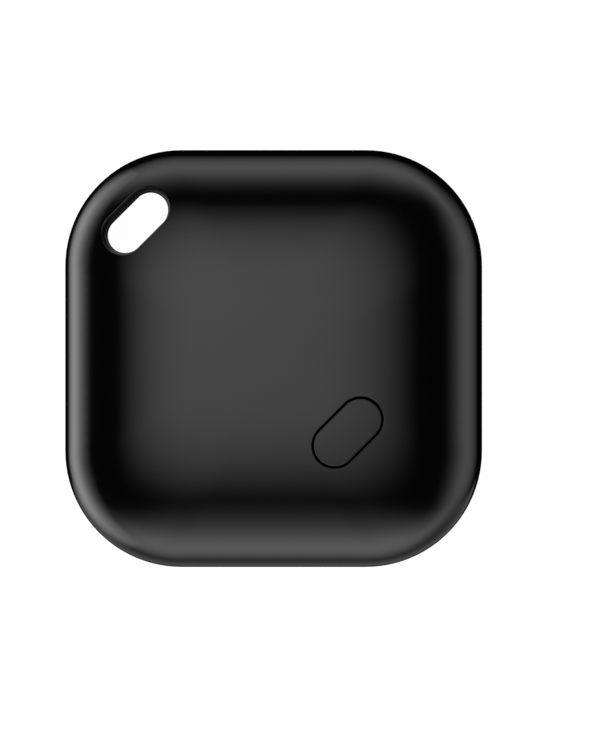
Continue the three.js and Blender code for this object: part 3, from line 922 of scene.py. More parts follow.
key_plan = Draft()
key_loops = []
for i in range(LIP_STEPS + 1):
    angle = math.radians(90 * i / LIP_STEPS)
    outline = capsule_loop(BUTTON, KEY_RADIUS - KEY_LIP * (1 - math.cos(angle)))
    key_loops.append((outline, 0.0, KEY_LIP * (1 - math.sin(angle))))
key_plan.chain(key_loops)
key_field = grid_points(RIM_SPREAD, [])
key_clear = KEY_TOP_RADIUS - GUARD_STEPS[-1] - GUARD_GAP
key_field = [key_field[capsule_distance(key_field, BUTTON) < key_clear]]
key_field += [capsule_loop(BUTTON, KEY_TOP_RADIUS - step) for step in GUARD_STEPS]
key_plan.fill(capsule_loop(BUTTON, KEY_TOP_RADIUS), inner=np.concatenate(key_field))
key = Draft()
key.take(lifted(key_plan, FRONT_RULE))
key_side = capsule_loop(BUTTON, KEY_RADIUS)
flange_side = capsule_loop(BUTTON, FLANGE_RADIUS)
key_walls = key.chain([
    (key_side, rule_height(spread_of(key_side), FRONT_RULE) - KEY_LIP),
    (key_side, FLANGE_Z[1] + ROOT_HEIGHT),
    (capsule_loop(BUTTON, APERTURE_RADIUS), FLANGE_Z[1]),
    (flange_side, FLANGE_Z[1]),
    (flange_side, FLANGE_Z[0]),
])
key.faces.append(tuple(key_walls[-1]))
stem = prism("stem", circle_loop(BUTTON_PLACE, STEM_RADIUS, 40), *STEM_Z)
key_mesh = with_face_normals(carved(key.solid("key"), [("UNION", stem)]), FRONT_RULE)
finished("push_button", key_mesh, [shell_plastic], "button_plastic", "button_cap", body="button", smooth=None)

# ---- Button membrane ----
# A thin silicone dome glued under the collar. It keeps dust out round the key and springs it back. It is
# built in its rest shape and rides with the front half.

MEMBRANE_OUTSIDE = ((3.38, 5.25), (3.4, 5.38), (3.38, 5.4), (2.66, 5.4), (2.6, 5.42), (2.53, 5.48),
                    (2.02, 5.92), (1.95, 5.97), (1.84, 6.0))
MEMBRANE_INSIDE = ((1.74, 5.88), (1.82, 5.86), (1.9, 5.8), (2.4, 5.38), (2.45, 5.3), (2.45, 5.27),
                   (2.47, 5.25))
MEMBRANE_HOLE_RADIUS = 1.05


def silicone_rubber(name, colour):
    """Moulded silicone: matt, with a faint mottle and the tooth of its mould."""
    material, sheet = new_material(name)
    mottle = sheet.noise(1.5, detail=4.0)
    tint = sheet.mix(mottle, [c * 0.8 for c in colour], [c * 1.25 for c in colour])
    sheet.surface(tint, 0.52 + 0.12 * mottle, (0.002, sheet.noise(0.05)), IOR=1.42)
    return material


silicone = silicone_rubber("silicone", (0.035, 0.035, 0.038))

membrane = Draft()
upper, lower = (
    membrane.chain([(capsule_loop(BUTTON, wide), z) for wide, z in side])
    for side in (MEMBRANE_OUTSIDE, MEMBRANE_INSIDE)
)
membrane.band(upper[0], lower[-1])
membrane_hole = circle_loop(BUTTON_PLACE, MEMBRANE_HOLE_RADIUS, 40)
crown_rims = (MEMBRANE_OUTSIDE[-1], MEMBRANE_INSIDE[0])
for wide, z in crown_rims:
    membrane.fill(capsule_loop(BUTTON, wide), [membrane_hole], z)
membrane.chain([(membrane_hole, z) for _, z in crown_rims])
membrane_piece = finished(
    "key_membrane", membrane.solid("membrane"), [silicone], "silicone", "button_membrane", body="front_half"
)
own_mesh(membrane_piece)

# ---- Rim gasket ----
# A moulded silicone ring with two sealing ribs, laid on the ledge in the rear shell's rim. The front
# shell's tongue closes down on it.

GASKET_SECTION = ((1.05, 1.52), (1.07, 1.5), (1.63, 1.5), (1.65, 1.52), (1.65, 1.83), (1.62, 1.88),
                  (1.57, 1.9), (1.51, 1.89), (1.46, 1.85), (1.41, 1.83), (1.29, 1.83), (1.24, 1.85),
                  (1.19, 1.89), (1.13, 1.9), (1.08, 1.88), (1.05, 1.83))

gasket = Draft()
gasket_loops = gasket.chain([(square_loop(inset=inset), z) for inset, z in GASKET_SECTION])
gasket.band(gasket_loops[-1], gasket_loops[0])
finished("rim_seal", gasket.solid("gasket"), [silicone], "silicone", "rim_gasket", smooth=50)

# ---- Circuit board ----
# A 0.8 mm glass-epoxy board under green solder mask, cut round the lanyard boss, with three screw holes.
# Its copper shows as raised tracks under the mask, and as gold-plated pads, screw lands and vias.

BOARD_TOP = BOARD_Z[1]
BOARD_INSET = 2.1
BOARD_NOTCH_RADIUS = 3.3
SCREW_HOLE_RADIUS = 0.75
LAND_RADII = (SCREW_HOLE_RADIUS + 0.05, 1.45)
COPPER = 0.018
TRACK_WIDTH = 0.16
TRACK_BEND = 0.35
TRACK_LINES = (
    ((10.2, -0.2), (9.2, -0.2), (8.4, 0.6), (8.4, 5.6), (9.2, 6.4)),
    ((10.2, -0.8), (8.8, -0.8), (7.8, 0.2), (7.8, 6.4), (9.6, 8.2), (12.2, 8.2)),
    ((12.0, 0.9), (12.0, 2.4), (11.8, 2.6), (11.8, 3.4)),
    ((12.8, 0.9), (12.8, 2.6), (14.6, 4.4)),
    ((14.4, -0.6), (15.6, 0.6), (15.6, 5.6), (14.6, 6.8), (14.6, 7.6)),
    ((12.6, -3.4), (12.6, -4.6)),
    ((13.4, -3.4), (13.4, -4.6)),
    ((11.6, -3.4), (11.6, -7.0), (12.4, -7.8)),
    ((10.2, -2.0), (8.9, -3.3), (8.9, -4.2)),
    ((10.2, -2.6), (9.6, -3.2), (9.6, -7.6), (8.2, -9.0)),
    ((11.0, -3.4), (11.0, -11.0), (8.0, -14.0), (5.6, -14.0), (4.6, -15.0)),
    ((12.4, -9.8), (12.4, -10.4), (8.6, -14.9), (6.4, -15.6), (4.7, -15.6)),
    ((5.2, -9.2), (3.6, -10.8), (2.6, -11.2)),
    ((0.6, -11.4), (-1.0, -11.4), (-2.0, -12.0), (-3.4, -12.0)),
    ((-7.4, -12.0), (-8.2, -12.0), (-9.0, -11.6)),
    ((-10.8, -11.6), (-12.8, -9.6), (-12.8, 1.4), (-11.8, 2.4)),
    ((-3.0, -8.6), (-3.0, -9.4), (-4.2, -10.6)),
    ((4.4, -4.6), (2.4, -4.6), (1.2, -3.4), (1.2, -1.4)),
    ((9.0, 14.0), (2.0, 14.0), (0.6, 12.6)),
    ((-6.4, 14.6), (-1.0, 14.6), (0.4, 16.0), (9.6, 16.0), (10.8, 14.8)),
)
VIA_RADII = (0.1, 0.2)
VIA_HEIGHT = 0.02
VIA_PLACES = (
    (8.4, 3.0), (7.8, 4.2), (15.6, 3.0), (9.6, -5.4), (11.0, -9.4), (-12.8, -4.0), (-12.8, -6.2), (1.2, -1.4),
    (9.0, 14.0), (10.8, 14.8), (-6.4, 14.6), (0.6, -13.4), (-1.4, -13.6), (6.4, -12.6), (15.8, -8.0),
    (15.8, -9.4), (15.0, -10.6), (-14.6, -8.8), (-15.2, -2.0), (-15.2, 0.0), (-15.2, 2.0), (8.4, 11.0),
    (10.2, 11.2), (5.2, 15.0),
)


def masked_board(name, mask, under):
    """Solder mask: a glossy green film over copper areas, which show lighter, and woven glass."""
    material, sheet = new_material(name)
    place = sheet.place()
    pour_cells = {"Vector": place, "Scale": 1 / (7.0 * MM), "Randomness": 0.7}
    pours = sheet.add("ShaderNodeTexVoronoi", {"distance": "CHEBYCHEV"}, pour_cells, output="Color")
    islands = sheet.add("ShaderNodeSeparateColor", None, {"Color": pours}, output="Red").ramp(0.45, 0.55)
    weave = sheet.add("ShaderNodeTexBrick", {"offset": 0.5}, {
        "Vector": place,
        "Scale": 1 / (0.9 * MM),
        "Color1": (0.45, 0.45, 0.45, 1),
        "Color2": (0.55, 0.55, 0.55, 1),
        "Mortar": (0.5, 0.5, 0.5, 1),
        "Mortar Size": 0.05,
    }, output="Fac")
    film = sheet.noise(1.2, detail=3.0)
    relief = (0.012, islands * 0.6 + weave * 0.1 + film * 0.3)
    sheet.surface(sheet.mix(islands, mask, under), 0.26 + 0.16 * film, relief, Coat_Weight=0.3, IOR=1.52)
    return material


def metal(name, colour, roughness, grain, stretch=(1, 1, 1), depth=0.001):
    """A metal whose finish is streaked along the axis with the smallest stretch."""
    material, sheet = new_material(name)
    drawn = sheet.add("ShaderNodeVectorMath", {"operation": "MULTIPLY"}, {0: sheet.place(), 1: stretch})
    streaks = sheet.noise(grain, detail=4.0, place=drawn)
    tarnish = sheet.noise(3.0, detail=5.0)
    tint = sheet.mix(tarnish.ramp(0.35, 0.75), colour, [c * 0.82 for c in colour])
    sheet.surface(tint, roughness + 0.14 * streaks + 0.1 * tarnish, (depth, streaks), Metallic=1.0)
    return material


def laminate(name, ply, resin):
    """The board's cut edge: plies of glass cloth in resin."""
    material, sheet = new_material(name)
    bands = {"Vector": sheet.place(), "Scale": 1 / (0.5 * MM), "Distortion": 2.0}
    plies = sheet.add("ShaderNodeTexWave", {"bands_direction": "Z"}, bands, output="Fac")
    sheet.surface(sheet.mix(plies, ply, resin), 0.45 + 0.2 * plies)
    return material


def joined(parts):
    """One mesh from several (mesh, material index) parts. The index adds to those the mesh has."""
    draft = Draft()
    chosen = []
    for mesh, index in parts:
        chosen += [face.material_index + index for face in mesh.polygons]
        draft.take(mesh)
    mesh = draft.plain_mesh("joined")
    mesh.polygons.foreach_set("material_index", chosen)
    return mesh


def all_real(sheet, geometry, material):
    """Real geometry that is all in one material."""
    real = sheet.add("GeometryNodeRealizeInstances", None, {"Geometry": geometry})
    return sheet.add("GeometryNodeSetMaterial", None, {"Geometry": real, "Material": material})


def copies_shape(sheet, points, template, material):
    """Puts a copy of a template piece on every point of a mesh, turned and scaled by its attributes."""
    upright = sheet.add("ShaderNodeCombineXYZ", None, {"Z": mark_of(sheet, "turn")})
    copies = sheet.add("GeometryNodeInstanceOnPoints", None, {
        "Points": points,
        "Instance": sheet.add("GeometryNodeObjectInfo", None, {"Object": template}, output="Geometry"),
        "Rotation": upright,
        "Scale": mark_of(sheet, "size", "FLOAT_VECTOR"),
    })
    return all_real(sheet, copies, material)


def tracks_shape(sheet, lines, width, height, bend, material):
    """Sweeps a flat bar along every line of a mesh, with its bends rounded."""
    curve = sheet.add("GeometryNodeMeshToCurve", None, {"Mesh": lines})
    bends = {"Curve": curve, "Radius": bend, "Count": 3}
    curve = sheet.add("GeometryNodeFilletCurve", {"mode": "POLY"}, bends)
    bar = sheet.add("GeometryNodeCurvePrimitiveQuadrilateral", None, {"Width": height, "Height": width})
    sweep = {"Curve": curve, "Profile Curve": bar, "Fill Caps": True}
    return all_real(sheet, sheet.add("GeometryNodeCurveToMesh", None, sweep), material)


COPIES_TREE = shaping_tree("copies", {
    "points": "Geometry",
    "template": "Object",
    "material": "Material",
}, copies_shape)
TRACKS_TREE = shaping_tree("tracks", {
    "lines": "Geometry",
    "width": "Float",
    "height": "Float",
    "bend": "Float",
    "material": "Material",
}, tracks_shape)


def copied(template_mesh, places, material, turns=0, sizes=1):
    """Copies of a template mesh at (x, y, z) places, with turns in degrees and (x, y, z) sizes."""
    mesh = bpy.data.meshes.new("places")
    mesh.from_pydata([tuple(place) for place in places], [], [])
    marked(mesh, "turn", "FLOAT", np.radians(np.broadcast_to(turns, len(places))))
    marked(mesh, "size", "FLOAT_VECTOR", np.broadcast_to(sizes, (len(places), 3)))
    template = linked("template", template_mesh)
    made = shaped(mesh, COPIES_TREE, {"template": template, "material": material})
    bpy.data.objects.remove(template)
    return made


def tracks(lines, width, height, bend, material):
    """Flat bars along lines, each a list of (x, y, z) points."""
    points = []
    edges = []
    for line in lines:
        first = len(points)
        points += [tuple(point) for point in line]
        edges += [(first + i, first + i + 1) for i in range(len(line) - 1)]
    mesh = bpy.data.meshes.new("lines")
    mesh.from_pydata(points, edges, [])
    values = {"width": width, "height": height, "bend": bend, "material": material}
    return shaped(mesh, TRACKS_TREE, values)


def box_mesh(length, width, bottom, top, rounding=0.0, segments=3):
    """A box round the z axis, with its edges rounded."""
    mesh = bpy.data.meshes.new("box")
    work = bmesh.new()
    bmesh.ops.create_cube(work, size=1)
    work.to_mesh(mesh)
    work.free()
    size = Matrix.Diagonal((length, width, top - bottom, 1))
    mesh.transform(Matrix.Translation((0, 0, (bottom + top) / 2)) @ size)
    if rounding:
        piece = linked("box", mesh)
        bevel = piece.modifiers.new("rounding", "BEVEL")
        bevel.width = rounding
        bevel.segments = segments
        mesh = evaluated_mesh(piece)
    return mesh


def moved(mesh, x, y, z=0.0, angle=0.0):
    mesh.transform(Matrix.Translation((x, y, z)) @ Matrix.Rotation(math.radians(angle), 4, "Z"))
    return mesh


def lathed(profile, centre=(0, 0), steps=96, base=0.0):
    """A turned mesh from (radius, z over base) points. A profile that starts off the axis is closed."""
    draft = Draft()
    rings = []
    for radius, z in profile:
        outline = [centre] if radius < WELD else circle_loop(centre, radius, steps)
        rings.append(draft.loop(outline, base + z))
    pairs = list(zip(rings, rings[1:]))
    if len(rings[0]) > 1:
        pairs.append((rings[-1], rings[0]))
    for one, other in pairs:
        if len(one) == len(other) > 1:
            draft.band(one, other)
        elif len(one) != len(other):
            tip, rim = (one, other) if len(one) == 1 else (other, one)
            draft.faces += [(tip[0], rim[i], rim[(i + 1) % len(rim)]) for i in range(len(rim))]
    return draft.solid("lathed")


solder_mask = masked_board("solder_mask", (0.006, 0.06, 0.026), (0.008, 0.074, 0.032))
masked_copper = masked_board("masked_copper", (0.014, 0.14, 0.055), (0.016, 0.155, 0.06))
glass_epoxy = laminate("glass_epoxy", (0.33, 0.28, 0.12), (0.5, 0.46, 0.27))
gold = metal("gold_plate", (0.95, 0.66, 0.28), 0.22, 0.12)

board_steps = [("DIFFERENCE", prism("notch", capsule_loop(SLOT, BOARD_NOTCH_RADIUS), 0))]
for place in SCREW_PLACES:
    board_steps.append(("DIFFERENCE", prism("hole", circle_loop(place, SCREW_HOLE_RADIUS, 40), 0)))
board_mesh = carved(prism("board", square_loop(inset=BOARD_INSET), *BOARD_Z), board_steps)
for face in board_mesh.polygons:
    face.material_index = 0 if abs(face.normal.z) > LEVEL else 1
finished("board", board_mesh, [solder_mask, glass_epoxy], "circuit_board", "circuit_board", smooth=30)

track_lines = [[(x, y, BOARD_TOP + COPPER / 2) for x, y in line] for line in TRACK_LINES]
track_mesh = tracks(track_lines, TRACK_WIDTH, COPPER, TRACK_BEND, masked_copper)
finished("board_tracks", track_mesh, [masked_copper], "circuit_board")


def ring_profile(radii, bottom, top, slope):
    """A flat ring whose outer side slopes in a little."""
    inner, outer = radii
    return [(inner, bottom), (outer, bottom), (outer - slope, top), (inner, top)]


via = lathed(ring_profile(VIA_RADII, 0, VIA_HEIGHT, 0.01), steps=20, base=BOARD_TOP)
land = lathed(ring_profile(LAND_RADII, -0.01, COPPER, 0.02), steps=56, base=BOARD_TOP)
vias = copied(via, [(x, y, 0) for x, y in VIA_PLACES], gold)
lands = copied(land, [(x, y, 0) for x, y in SCREW_PLACES], gold)
finished("board_vias", joined([(vias, 0), (lands, 0)]), [gold], "contact_gold")

# ---- Board screws ----
# Three self-tapping pan-head screws with a cross recess, zinc-plated steel, through the board into the
# rear shell's bosses.

SCREW = {"head": 1.2, "head_height": 0.65, "round": 0.4, "shank": 0.55, "core": 0.42, "pitch": 0.2}
SCREW_TIP_Z = (0.35, 0.4, 0.45)  # the point, the end of its taper, and the first thread
HEAD_FLAT = 0.62  # the share of the head's radius that its rounded side turns about
CROSS = {"length": 1.3, "width": 0.28, "depth": 0.4, "foot": 0.6}
SCREW_TURNS = (20, 65, -10)

zinc = metal("zinc_plate", (0.62, 0.62, 0.6), 0.26, 0.1)

head = SCREW["head"]
core = SCREW["core"]
head_top = BOARD_TOP + SCREW["head_height"]
screw_profile = [(0, SCREW_TIP_Z[0]), (core, SCREW_TIP_Z[1])]
thread_z = SCREW_TIP_Z[2]
while thread_z < BOARD_TOP - SCREW["pitch"]:
    screw_profile += [(core, thread_z), (SCREW["shank"], thread_z + SCREW["pitch"] / 2)]
    thread_z += SCREW["pitch"]
screw_profile += [(core, thread_z), (core, BOARD_TOP), (head - 0.04, BOARD_TOP)]
for i in range(7):
    angle = math.radians(90 * i / 6)
    radius = head * (HEAD_FLAT + (1 - HEAD_FLAT) * math.cos(angle))
    screw_profile.append((radius, head_top - SCREW["round"] * (1 - math.sin(angle))))
screw_profile.append((0, head_top))
screw = lathed(screw_profile, steps=40)
for angle in (0, 90):
    arm = []
    for taper, z in ((CROSS["foot"], head_top - CROSS["depth"]), (1.0, head_top + 0.01)):
        across, high = CROSS["length"] * taper / 2, CROSS["width"] / 2
        outline = [(-across, -high), (across, -high), (across, high), (-across, high)]
        arm.append((turned(np.array(outline), angle), z))
    screw = carved(screw, [("DIFFERENCE", stacked("arm", arm))])
screws = copied(screw, [(x, y, 0) for x, y in SCREW_PLACES], zinc, turns=SCREW_TURNS)
finished("board_screws", screws, [zinc], "steel", "board_screw_1", "board_screw_2", "board_screw_3")

# ---- Radio chip and crystal ----
# The radio is a flat black package moulded in filled epoxy, with plated pads round its underside and a
# dimple at its first pad. The crystal beside it is a ceramic tray with a seam-welded metal lid.

RADIO = {"x": 12.3, "y": -1.2, "side": 4.5, "height": 0.8, "gap": 0.03, "edge": 0.05}
RADIO_PADS = 8
RADIO_PITCH = 0.5
RADIO_DIMPLE = {"inset": 0.65, "radius": 0.22, "depth": 0.05}
PAD = {"length": 0.34, "width": 0.24, "height": 0.2, "edge": 0.03, "out": 0.005}
CRYSTAL = {"x": 13.0, "y": -5.4, "length": 2.5, "width": 2.0, "height": 0.6, "tray": 0.4}
CRYSTAL_LID = {"smaller": 0.3, "sunk": 0.02}
CRYSTAL_EDGES = (0.06, 0.07)


def filled_epoxy(name, colour):
    """Moulding compound: matt near-black with a fine glassy filler."""
    material, sheet = new_material(name)
    filler = sheet.noise(0.06, detail=5.0)
    cloud = sheet.noise(1.4, detail=3.0)
    tint = sheet.mix(filler.ramp(0.4, 0.75), colour, [c * 1.9 for c in colour])
    sheet.surface(tint, 0.45 + 0.2 * cloud, (0.004, filler))
    return material


def speckled(name, light, dark, roughness, speck=0.08):
    """A fired ceramic or a pressed powder: two close shades in fine specks."""
    material, sheet = new_material(name)
    grain = sheet.noise(speck, detail=4.0)
    cloud = sheet.noise(2.2, detail=3.0)
    tint = sheet.mix((grain * 0.65 + cloud * 0.35).ramp(0.36, 0.64), light, dark)
    sheet.surface(tint, roughness + 0.12 * cloud, (0.003, grain))
    return material


chip_epoxy = filled_epoxy("chip_epoxy", (0.012, 0.012, 0.013))
tin = metal("tin_solder", (0.72, 0.71, 0.68), 0.2, 0.2, depth=0.004)
steel = metal("bright_steel", (0.6, 0.59, 0.57), 0.2, 0.08, stretch=(1, 0.04, 1))
tray_ceramic = speckled("tray_ceramic", (0.16, 0.13, 0.11), (0.1, 0.085, 0.075), 0.5)

side, radio_top = RADIO["side"], BOARD_TOP + RADIO["height"]
radio_body = box_mesh(side, side, BOARD_TOP + RADIO["gap"], radio_top, RADIO["edge"], segments=2)
dimple_x = -side / 2 + RADIO_DIMPLE["inset"]
dimple = circle_loop((dimple_x, -dimple_x), RADIO_DIMPLE["radius"], 24)
dimple = prism("dimple", dimple, radio_top - RADIO_DIMPLE["depth"], radio_top + RADIO_DIMPLE["depth"])
radio_body = moved(carved(radio_body, [("DIFFERENCE", dimple)]), RADIO["x"], RADIO["y"])
finished("radio_package", radio_body, [chip_epoxy], "chip_epoxy", "radio_chip")

pad_template = box_mesh(PAD["length"], PAD["width"], 0, PAD["height"], PAD["edge"], segments=2)
pad_places = []
pad_turns = [90 * quarter for quarter in range(4) for _ in range(RADIO_PADS)]
for i, turn in enumerate(pad_turns):
    along = (i % RADIO_PADS - (RADIO_PADS - 1) / 2) * RADIO_PITCH
    spot = turned(np.array([(side / 2 + PAD["out"], along)]), turn)[0]
    pad_places.append((RADIO["x"] + spot[0], RADIO["y"] + spot[1], BOARD_TOP))
pads = copied(pad_template, pad_places, tin, turns=pad_turns)
finished("radio_solder", pads, [tin], "steel")

length, width, tray_top = CRYSTAL["length"], CRYSTAL["width"], BOARD_TOP + CRYSTAL["tray"]
lid_size = (length - CRYSTAL_LID["smaller"], width - CRYSTAL_LID["smaller"])
lid_z = (tray_top - CRYSTAL_LID["sunk"], BOARD_TOP + CRYSTAL["height"])
crystal = joined([
    (box_mesh(length, width, BOARD_TOP, tray_top, CRYSTAL_EDGES[0], segments=2), 0),
    (box_mesh(*lid_size, *lid_z, CRYSTAL_EDGES[1]), 1),
])
moved(crystal, CRYSTAL["x"], CRYSTAL["y"])
finished("crystal_can", crystal, [tray_ceramic, steel], "steel", "radio_crystal")

# ---- Chip antenna ----
# A white fired-ceramic bar along the board's lower edge, with a printed silver meander on its top and a
# soldered cap at each end.

ANTENNA = {"x": 2.0, "y": -15.2, "length": 6.0, "width": 2.0, "height": 1.1, "cap": 0.45}
MEANDER = {"legs": 9, "pitch": 0.5, "reach": 0.6, "width": 0.14, "height": 0.02, "bend": 0.06}
CAP_SKIN = 0.025
CHIP_EDGES = (0.04, 0.07)

white_ceramic = speckled("white_ceramic", (0.74, 0.72, 0.66), (0.62, 0.6, 0.54), 0.38)
silver = metal("printed_silver", (0.78, 0.76, 0.72), 0.34, 0.05)


def chip_part(form, lower=0.0):
    """A chip part: a body and, a little thicker, the tinned metal cap at each of its ends."""
    length, width, cap = form["length"], form["width"], form["cap"]
    top = BOARD_TOP + form["height"] - lower
    body_size = (length - cap, width - 2 * CAP_SKIN, BOARD_TOP + CAP_SKIN, top - CAP_SKIN)
    parts = [(box_mesh(*body_size, CHIP_EDGES[0], segments=2), 0)]
    for side in (-1, 1):
        end = box_mesh(cap, width, BOARD_TOP, top, CHIP_EDGES[1])
        parts.append((moved(end, side * (length - cap) / 2, 0), 1))
    return joined(parts)


antenna = moved(chip_part(ANTENNA), ANTENNA["x"], ANTENNA["y"])
finished("antenna_block", antenna, [white_ceramic, tin], "ceramic", "chip_antenna")
meander_z = BOARD_TOP + ANTENNA["height"] - CAP_SKIN + MEANDER["height"] / 2
meander_line = []
for i in range(MEANDER["legs"]):
    x = ANTENNA["x"] + (i - (MEANDER["legs"] - 1) / 2) * MEANDER["pitch"]
    sides = (-1, 1) if i % 2 else (1, -1)
    meander_line += [(x, ANTENNA["y"] + side * MEANDER["reach"], meander_z) for side in sides]
meander = tracks([meander_line], MEANDER["width"], MEANDER["height"], MEANDER["bend"], silver)
finished("antenna_meander", meander, [silver], "ceramic")

# ---- Booster coil ----
# The shielded inductor of the sounder's voltage booster: a square ferrite base, a round ferrite drum in
# it, and between them a ring of varnished copper wire.

COIL = {"x": -5.4, "y": -12.0, "side": 3.6, "top": BOARD_TOP + 1.8, "well": 1.55, "drum": 1.05}
COIL_LAYERS = (0.42, 0.62, 0.82, 1.02, 1.22)
WIRE = {"radius": 0.11, "out": 0.13}
COIL_FOOT = (0.5, 1.6, 0, 0.35, 0.06)
COIL_FOOT_INSET = 0.12

ferrite = speckled("ferrite", (0.03, 0.03, 0.033), (0.018, 0.018, 0.02), 0.5, speck=0.05)
copper_wire = metal("varnished_copper", (0.72, 0.27, 0.12), 0.24, 0.1)

side, coil_top, well, drum_radius = (COIL[name] for name in ("side", "top", "well", "drum"))
coil_well = prism("well", circle_loop((0, 0), well), BOARD_TOP + 0.3)
coil_frame = box_mesh(side, side, BOARD_TOP + 0.04, coil_top - 0.12, 0.12)
coil_frame = carved(coil_frame, [("DIFFERENCE", coil_well)])
drum = lathed([
    (0, BOARD_TOP + 0.28),
    (well - 0.12, BOARD_TOP + 0.28),
    (well - 0.12, BOARD_TOP + 0.36),
    (drum_radius, BOARD_TOP + 0.38),
    (drum_radius, coil_top - 0.3),
    (well - 0.14, coil_top - 0.26),
    (well - 0.14, coil_top - 0.04),
    (well - 0.2, coil_top),
    (0, coil_top),
], steps=64)
coil_mesh = moved(joined([(coil_frame, 0), (drum, 0)]), COIL["x"], COIL["y"])
finished("coil_core", coil_mesh, [ferrite], "ferrite", "booster_coil")
wire_round = circle_loop((drum_radius + WIRE["out"], BOARD_TOP), WIRE["radius"], 12)
coil_place = (COIL["x"], COIL["y"])
winding = [(lathed(wire_round, coil_place, 64, lift), 0) for lift in COIL_LAYERS]
finished("coil_winding", joined(winding), [copper_wire], "ferrite")
foot_reach = side / 2 - COIL_FOOT_INSET
foot_places = [(COIL["x"] + end * foot_reach, COIL["y"], BOARD_TOP) for end in (-1, 1)]
finished("coil_feet", copied(box_mesh(*COIL_FOOT), foot_places, tin), [tin], "steel")

# ---- Capacitors and resistors ----
# Chip parts soldered by their tinned end caps: ceramic capacitors in tan, and resistors of white alumina
# with a black resistive film on top. Each stands on two pads with a fillet of solder.

CAPACITOR = {"length": 2.0, "width": 1.25, "height": 0.9, "cap": 0.45}
RESISTOR = {"length": 1.6, "width": 0.8, "height": 0.45, "cap": 0.3}
CHIPS = (
    ("capacitor_1", CAPACITOR, 13.4, 8.2, 0),
    ("capacitor_2", CAPACITOR, 14.6, 4.4, 90),
    ("capacitor_3", CAPACITOR, 1.6, -11.4, 0),
    ("resistor_1", RESISTOR, 12.4, -8.8, 90),
    ("resistor_2", RESISTOR, -9.8, -11.6, 0),
)
FILM = {"length": 0.96, "width": 0.66, "height": 0.03, "sunk": 0.02, "edge": 0.01}
FILLET = 0.16
FILLET_SHARES = (0.46, 0.62)  # a fillet's half width and height, as shares of its part's

tan_ceramic = speckled("tan_ceramic", (0.5, 0.36, 0.22), (0.4, 0.28, 0.16), 0.42, speck=0.05)

fillet_places = []
fillet_turns = []
fillet_sizes = []
for name, form, x, y, angle in CHIPS:
    for end in (-1, 1):
        reach = turned(np.array([(end * form["length"] / 2, 0.0)]), angle)[0]
        fillet_places.append((x + reach[0], y + reach[1], BOARD_TOP))
        fillet_turns.append(angle)
        fillet_sizes.append((1.0, form["width"] * FILLET_SHARES[0], form["height"] * FILLET_SHARES[1]))
    if form is CAPACITOR:
        mesh = moved(chip_part(form), x, y, angle=angle)
        finished(name + "_chip", mesh, [tan_ceramic, tin], "ceramic", name)
    else:
        film_low = BOARD_TOP + form["height"] - CAP_SKIN - FILM["sunk"]
        film_z = (film_low, film_low + FILM["height"])
        film = box_mesh(FILM["length"], FILM["width"], *film_z, FILM["edge"], segments=2)
        body = chip_part(form, lower=FILM["height"] - FILM["sunk"])
        mesh = moved(joined([(body, 0), (film, 2)]), x, y, angle=angle)
        finished(name + "_chip", mesh, [white_ceramic, tin, chip_epoxy], "chip_epoxy", name)

fillet_profile = [(0, 0), (FILLET, 0)]
for i in range(1, 7):
    angle = math.radians(90 * i / 6)
    fillet_profile.append((FILLET * (1 - math.sin(angle)), 1 - math.cos(angle)))
fillet_mesh = lathed(fillet_profile, steps=24)
fillet_mesh.transform(Matrix.Diagonal((1, 1 / FILLET, 1, 1)))
solder = copied(fillet_mesh, fillet_places, tin, turns=fillet_turns, sizes=fillet_sizes)
finished("chip_solder", solder, [tin], "steel", smooth=60)

# ---- Coin cell ----
# A lithium cell of 20 mm by 3.2 mm, deep-drawn from nickel-plated steel: the can is the positive side and
# faces up, the smaller cap is the negative side, and a nylon seal is crimped between them.

CELL_PLACE = (-3.0, 3.0)
CELL_RADIUS = 10.0
CELL_LOW = 2.2
CELL_HEIGHT = 3.2
CAN = {"sheet": 0.25, "corner": 0.32, "ring": 7.6, "lip": 0.6}

can_steel = metal("can_steel", (0.63, 0.61, 0.58), 0.17, 0.09, stretch=(1, 0.03, 1))
nylon = speckled("nylon", (0.62, 0.64, 0.6), (0.54, 0.56, 0.52), 0.46, speck=0.3)
cell_powder = speckled("cell_powder", (0.06, 0.06, 0.063), (0.035, 0.035, 0.038), 0.75, speck=0.05)


def corner(centre_radius, centre_z, radius, start, end, steps=6):
    """Points of a rounded corner in a turned profile, with angles in degrees."""
    angles = np.radians(np.linspace(start, end, steps + 1))
    return [(centre_radius + radius * math.cos(a), centre_z + radius * math.sin(a)) for a in angles]


inside_z = CELL_HEIGHT - CAN["sheet"]
inside = CELL_RADIUS - CAN["sheet"]
lip = CELL_RADIUS - CAN["lip"]
ring = CAN["ring"]
can_profile = [
    (0, inside_z), (inside - 0.15, inside_z), (inside, inside_z - 0.15), (inside, 0.47), (lip, 0.46),
    *corner(lip, 0.355, 0.1, 90, 270),
    *corner(CELL_RADIUS - 0.26, 0.51, 0.255, 270, 360),
    *corner(CELL_RADIUS - CAN["corner"], CELL_HEIGHT - CAN["corner"], CAN["corner"], 0, 90),
    (ring + 0.3, CELL_HEIGHT), (ring + 0.2, CELL_HEIGHT - 0.03), (ring, CELL_HEIGHT - 0.03),
    (ring - 0.1, CELL_HEIGHT), (0, CELL_HEIGHT),
]
cap_profile = [
    (0, 0), (8.1, 0), *corner(8.44, 0.26, 0.26, 270, 360), (8.7, 0.52), (8.76, 0.6), (8.96, 0.68),
    (9.0, 0.74), (9.0, 1.36), (8.96, 1.4), (8.84, 1.4), (8.8, 1.36), (8.8, 0.82), (8.56, 0.7),
    (8.5, 0.6), (8.5, 0.28), (8.36, 0.18), (0, 0.18),
]
seal_profile = [
    (8.77, 0.3), (8.85, 0.28), (9.3, 0.28), (9.35, 0.33), (9.35, 0.5), (9.66, 0.52), (9.7, 0.58),
    (9.7, 1.95), (9.65, 2.0), (9.1, 2.0), (9.05, 1.95), (9.05, 0.66), (8.78, 0.54),
]
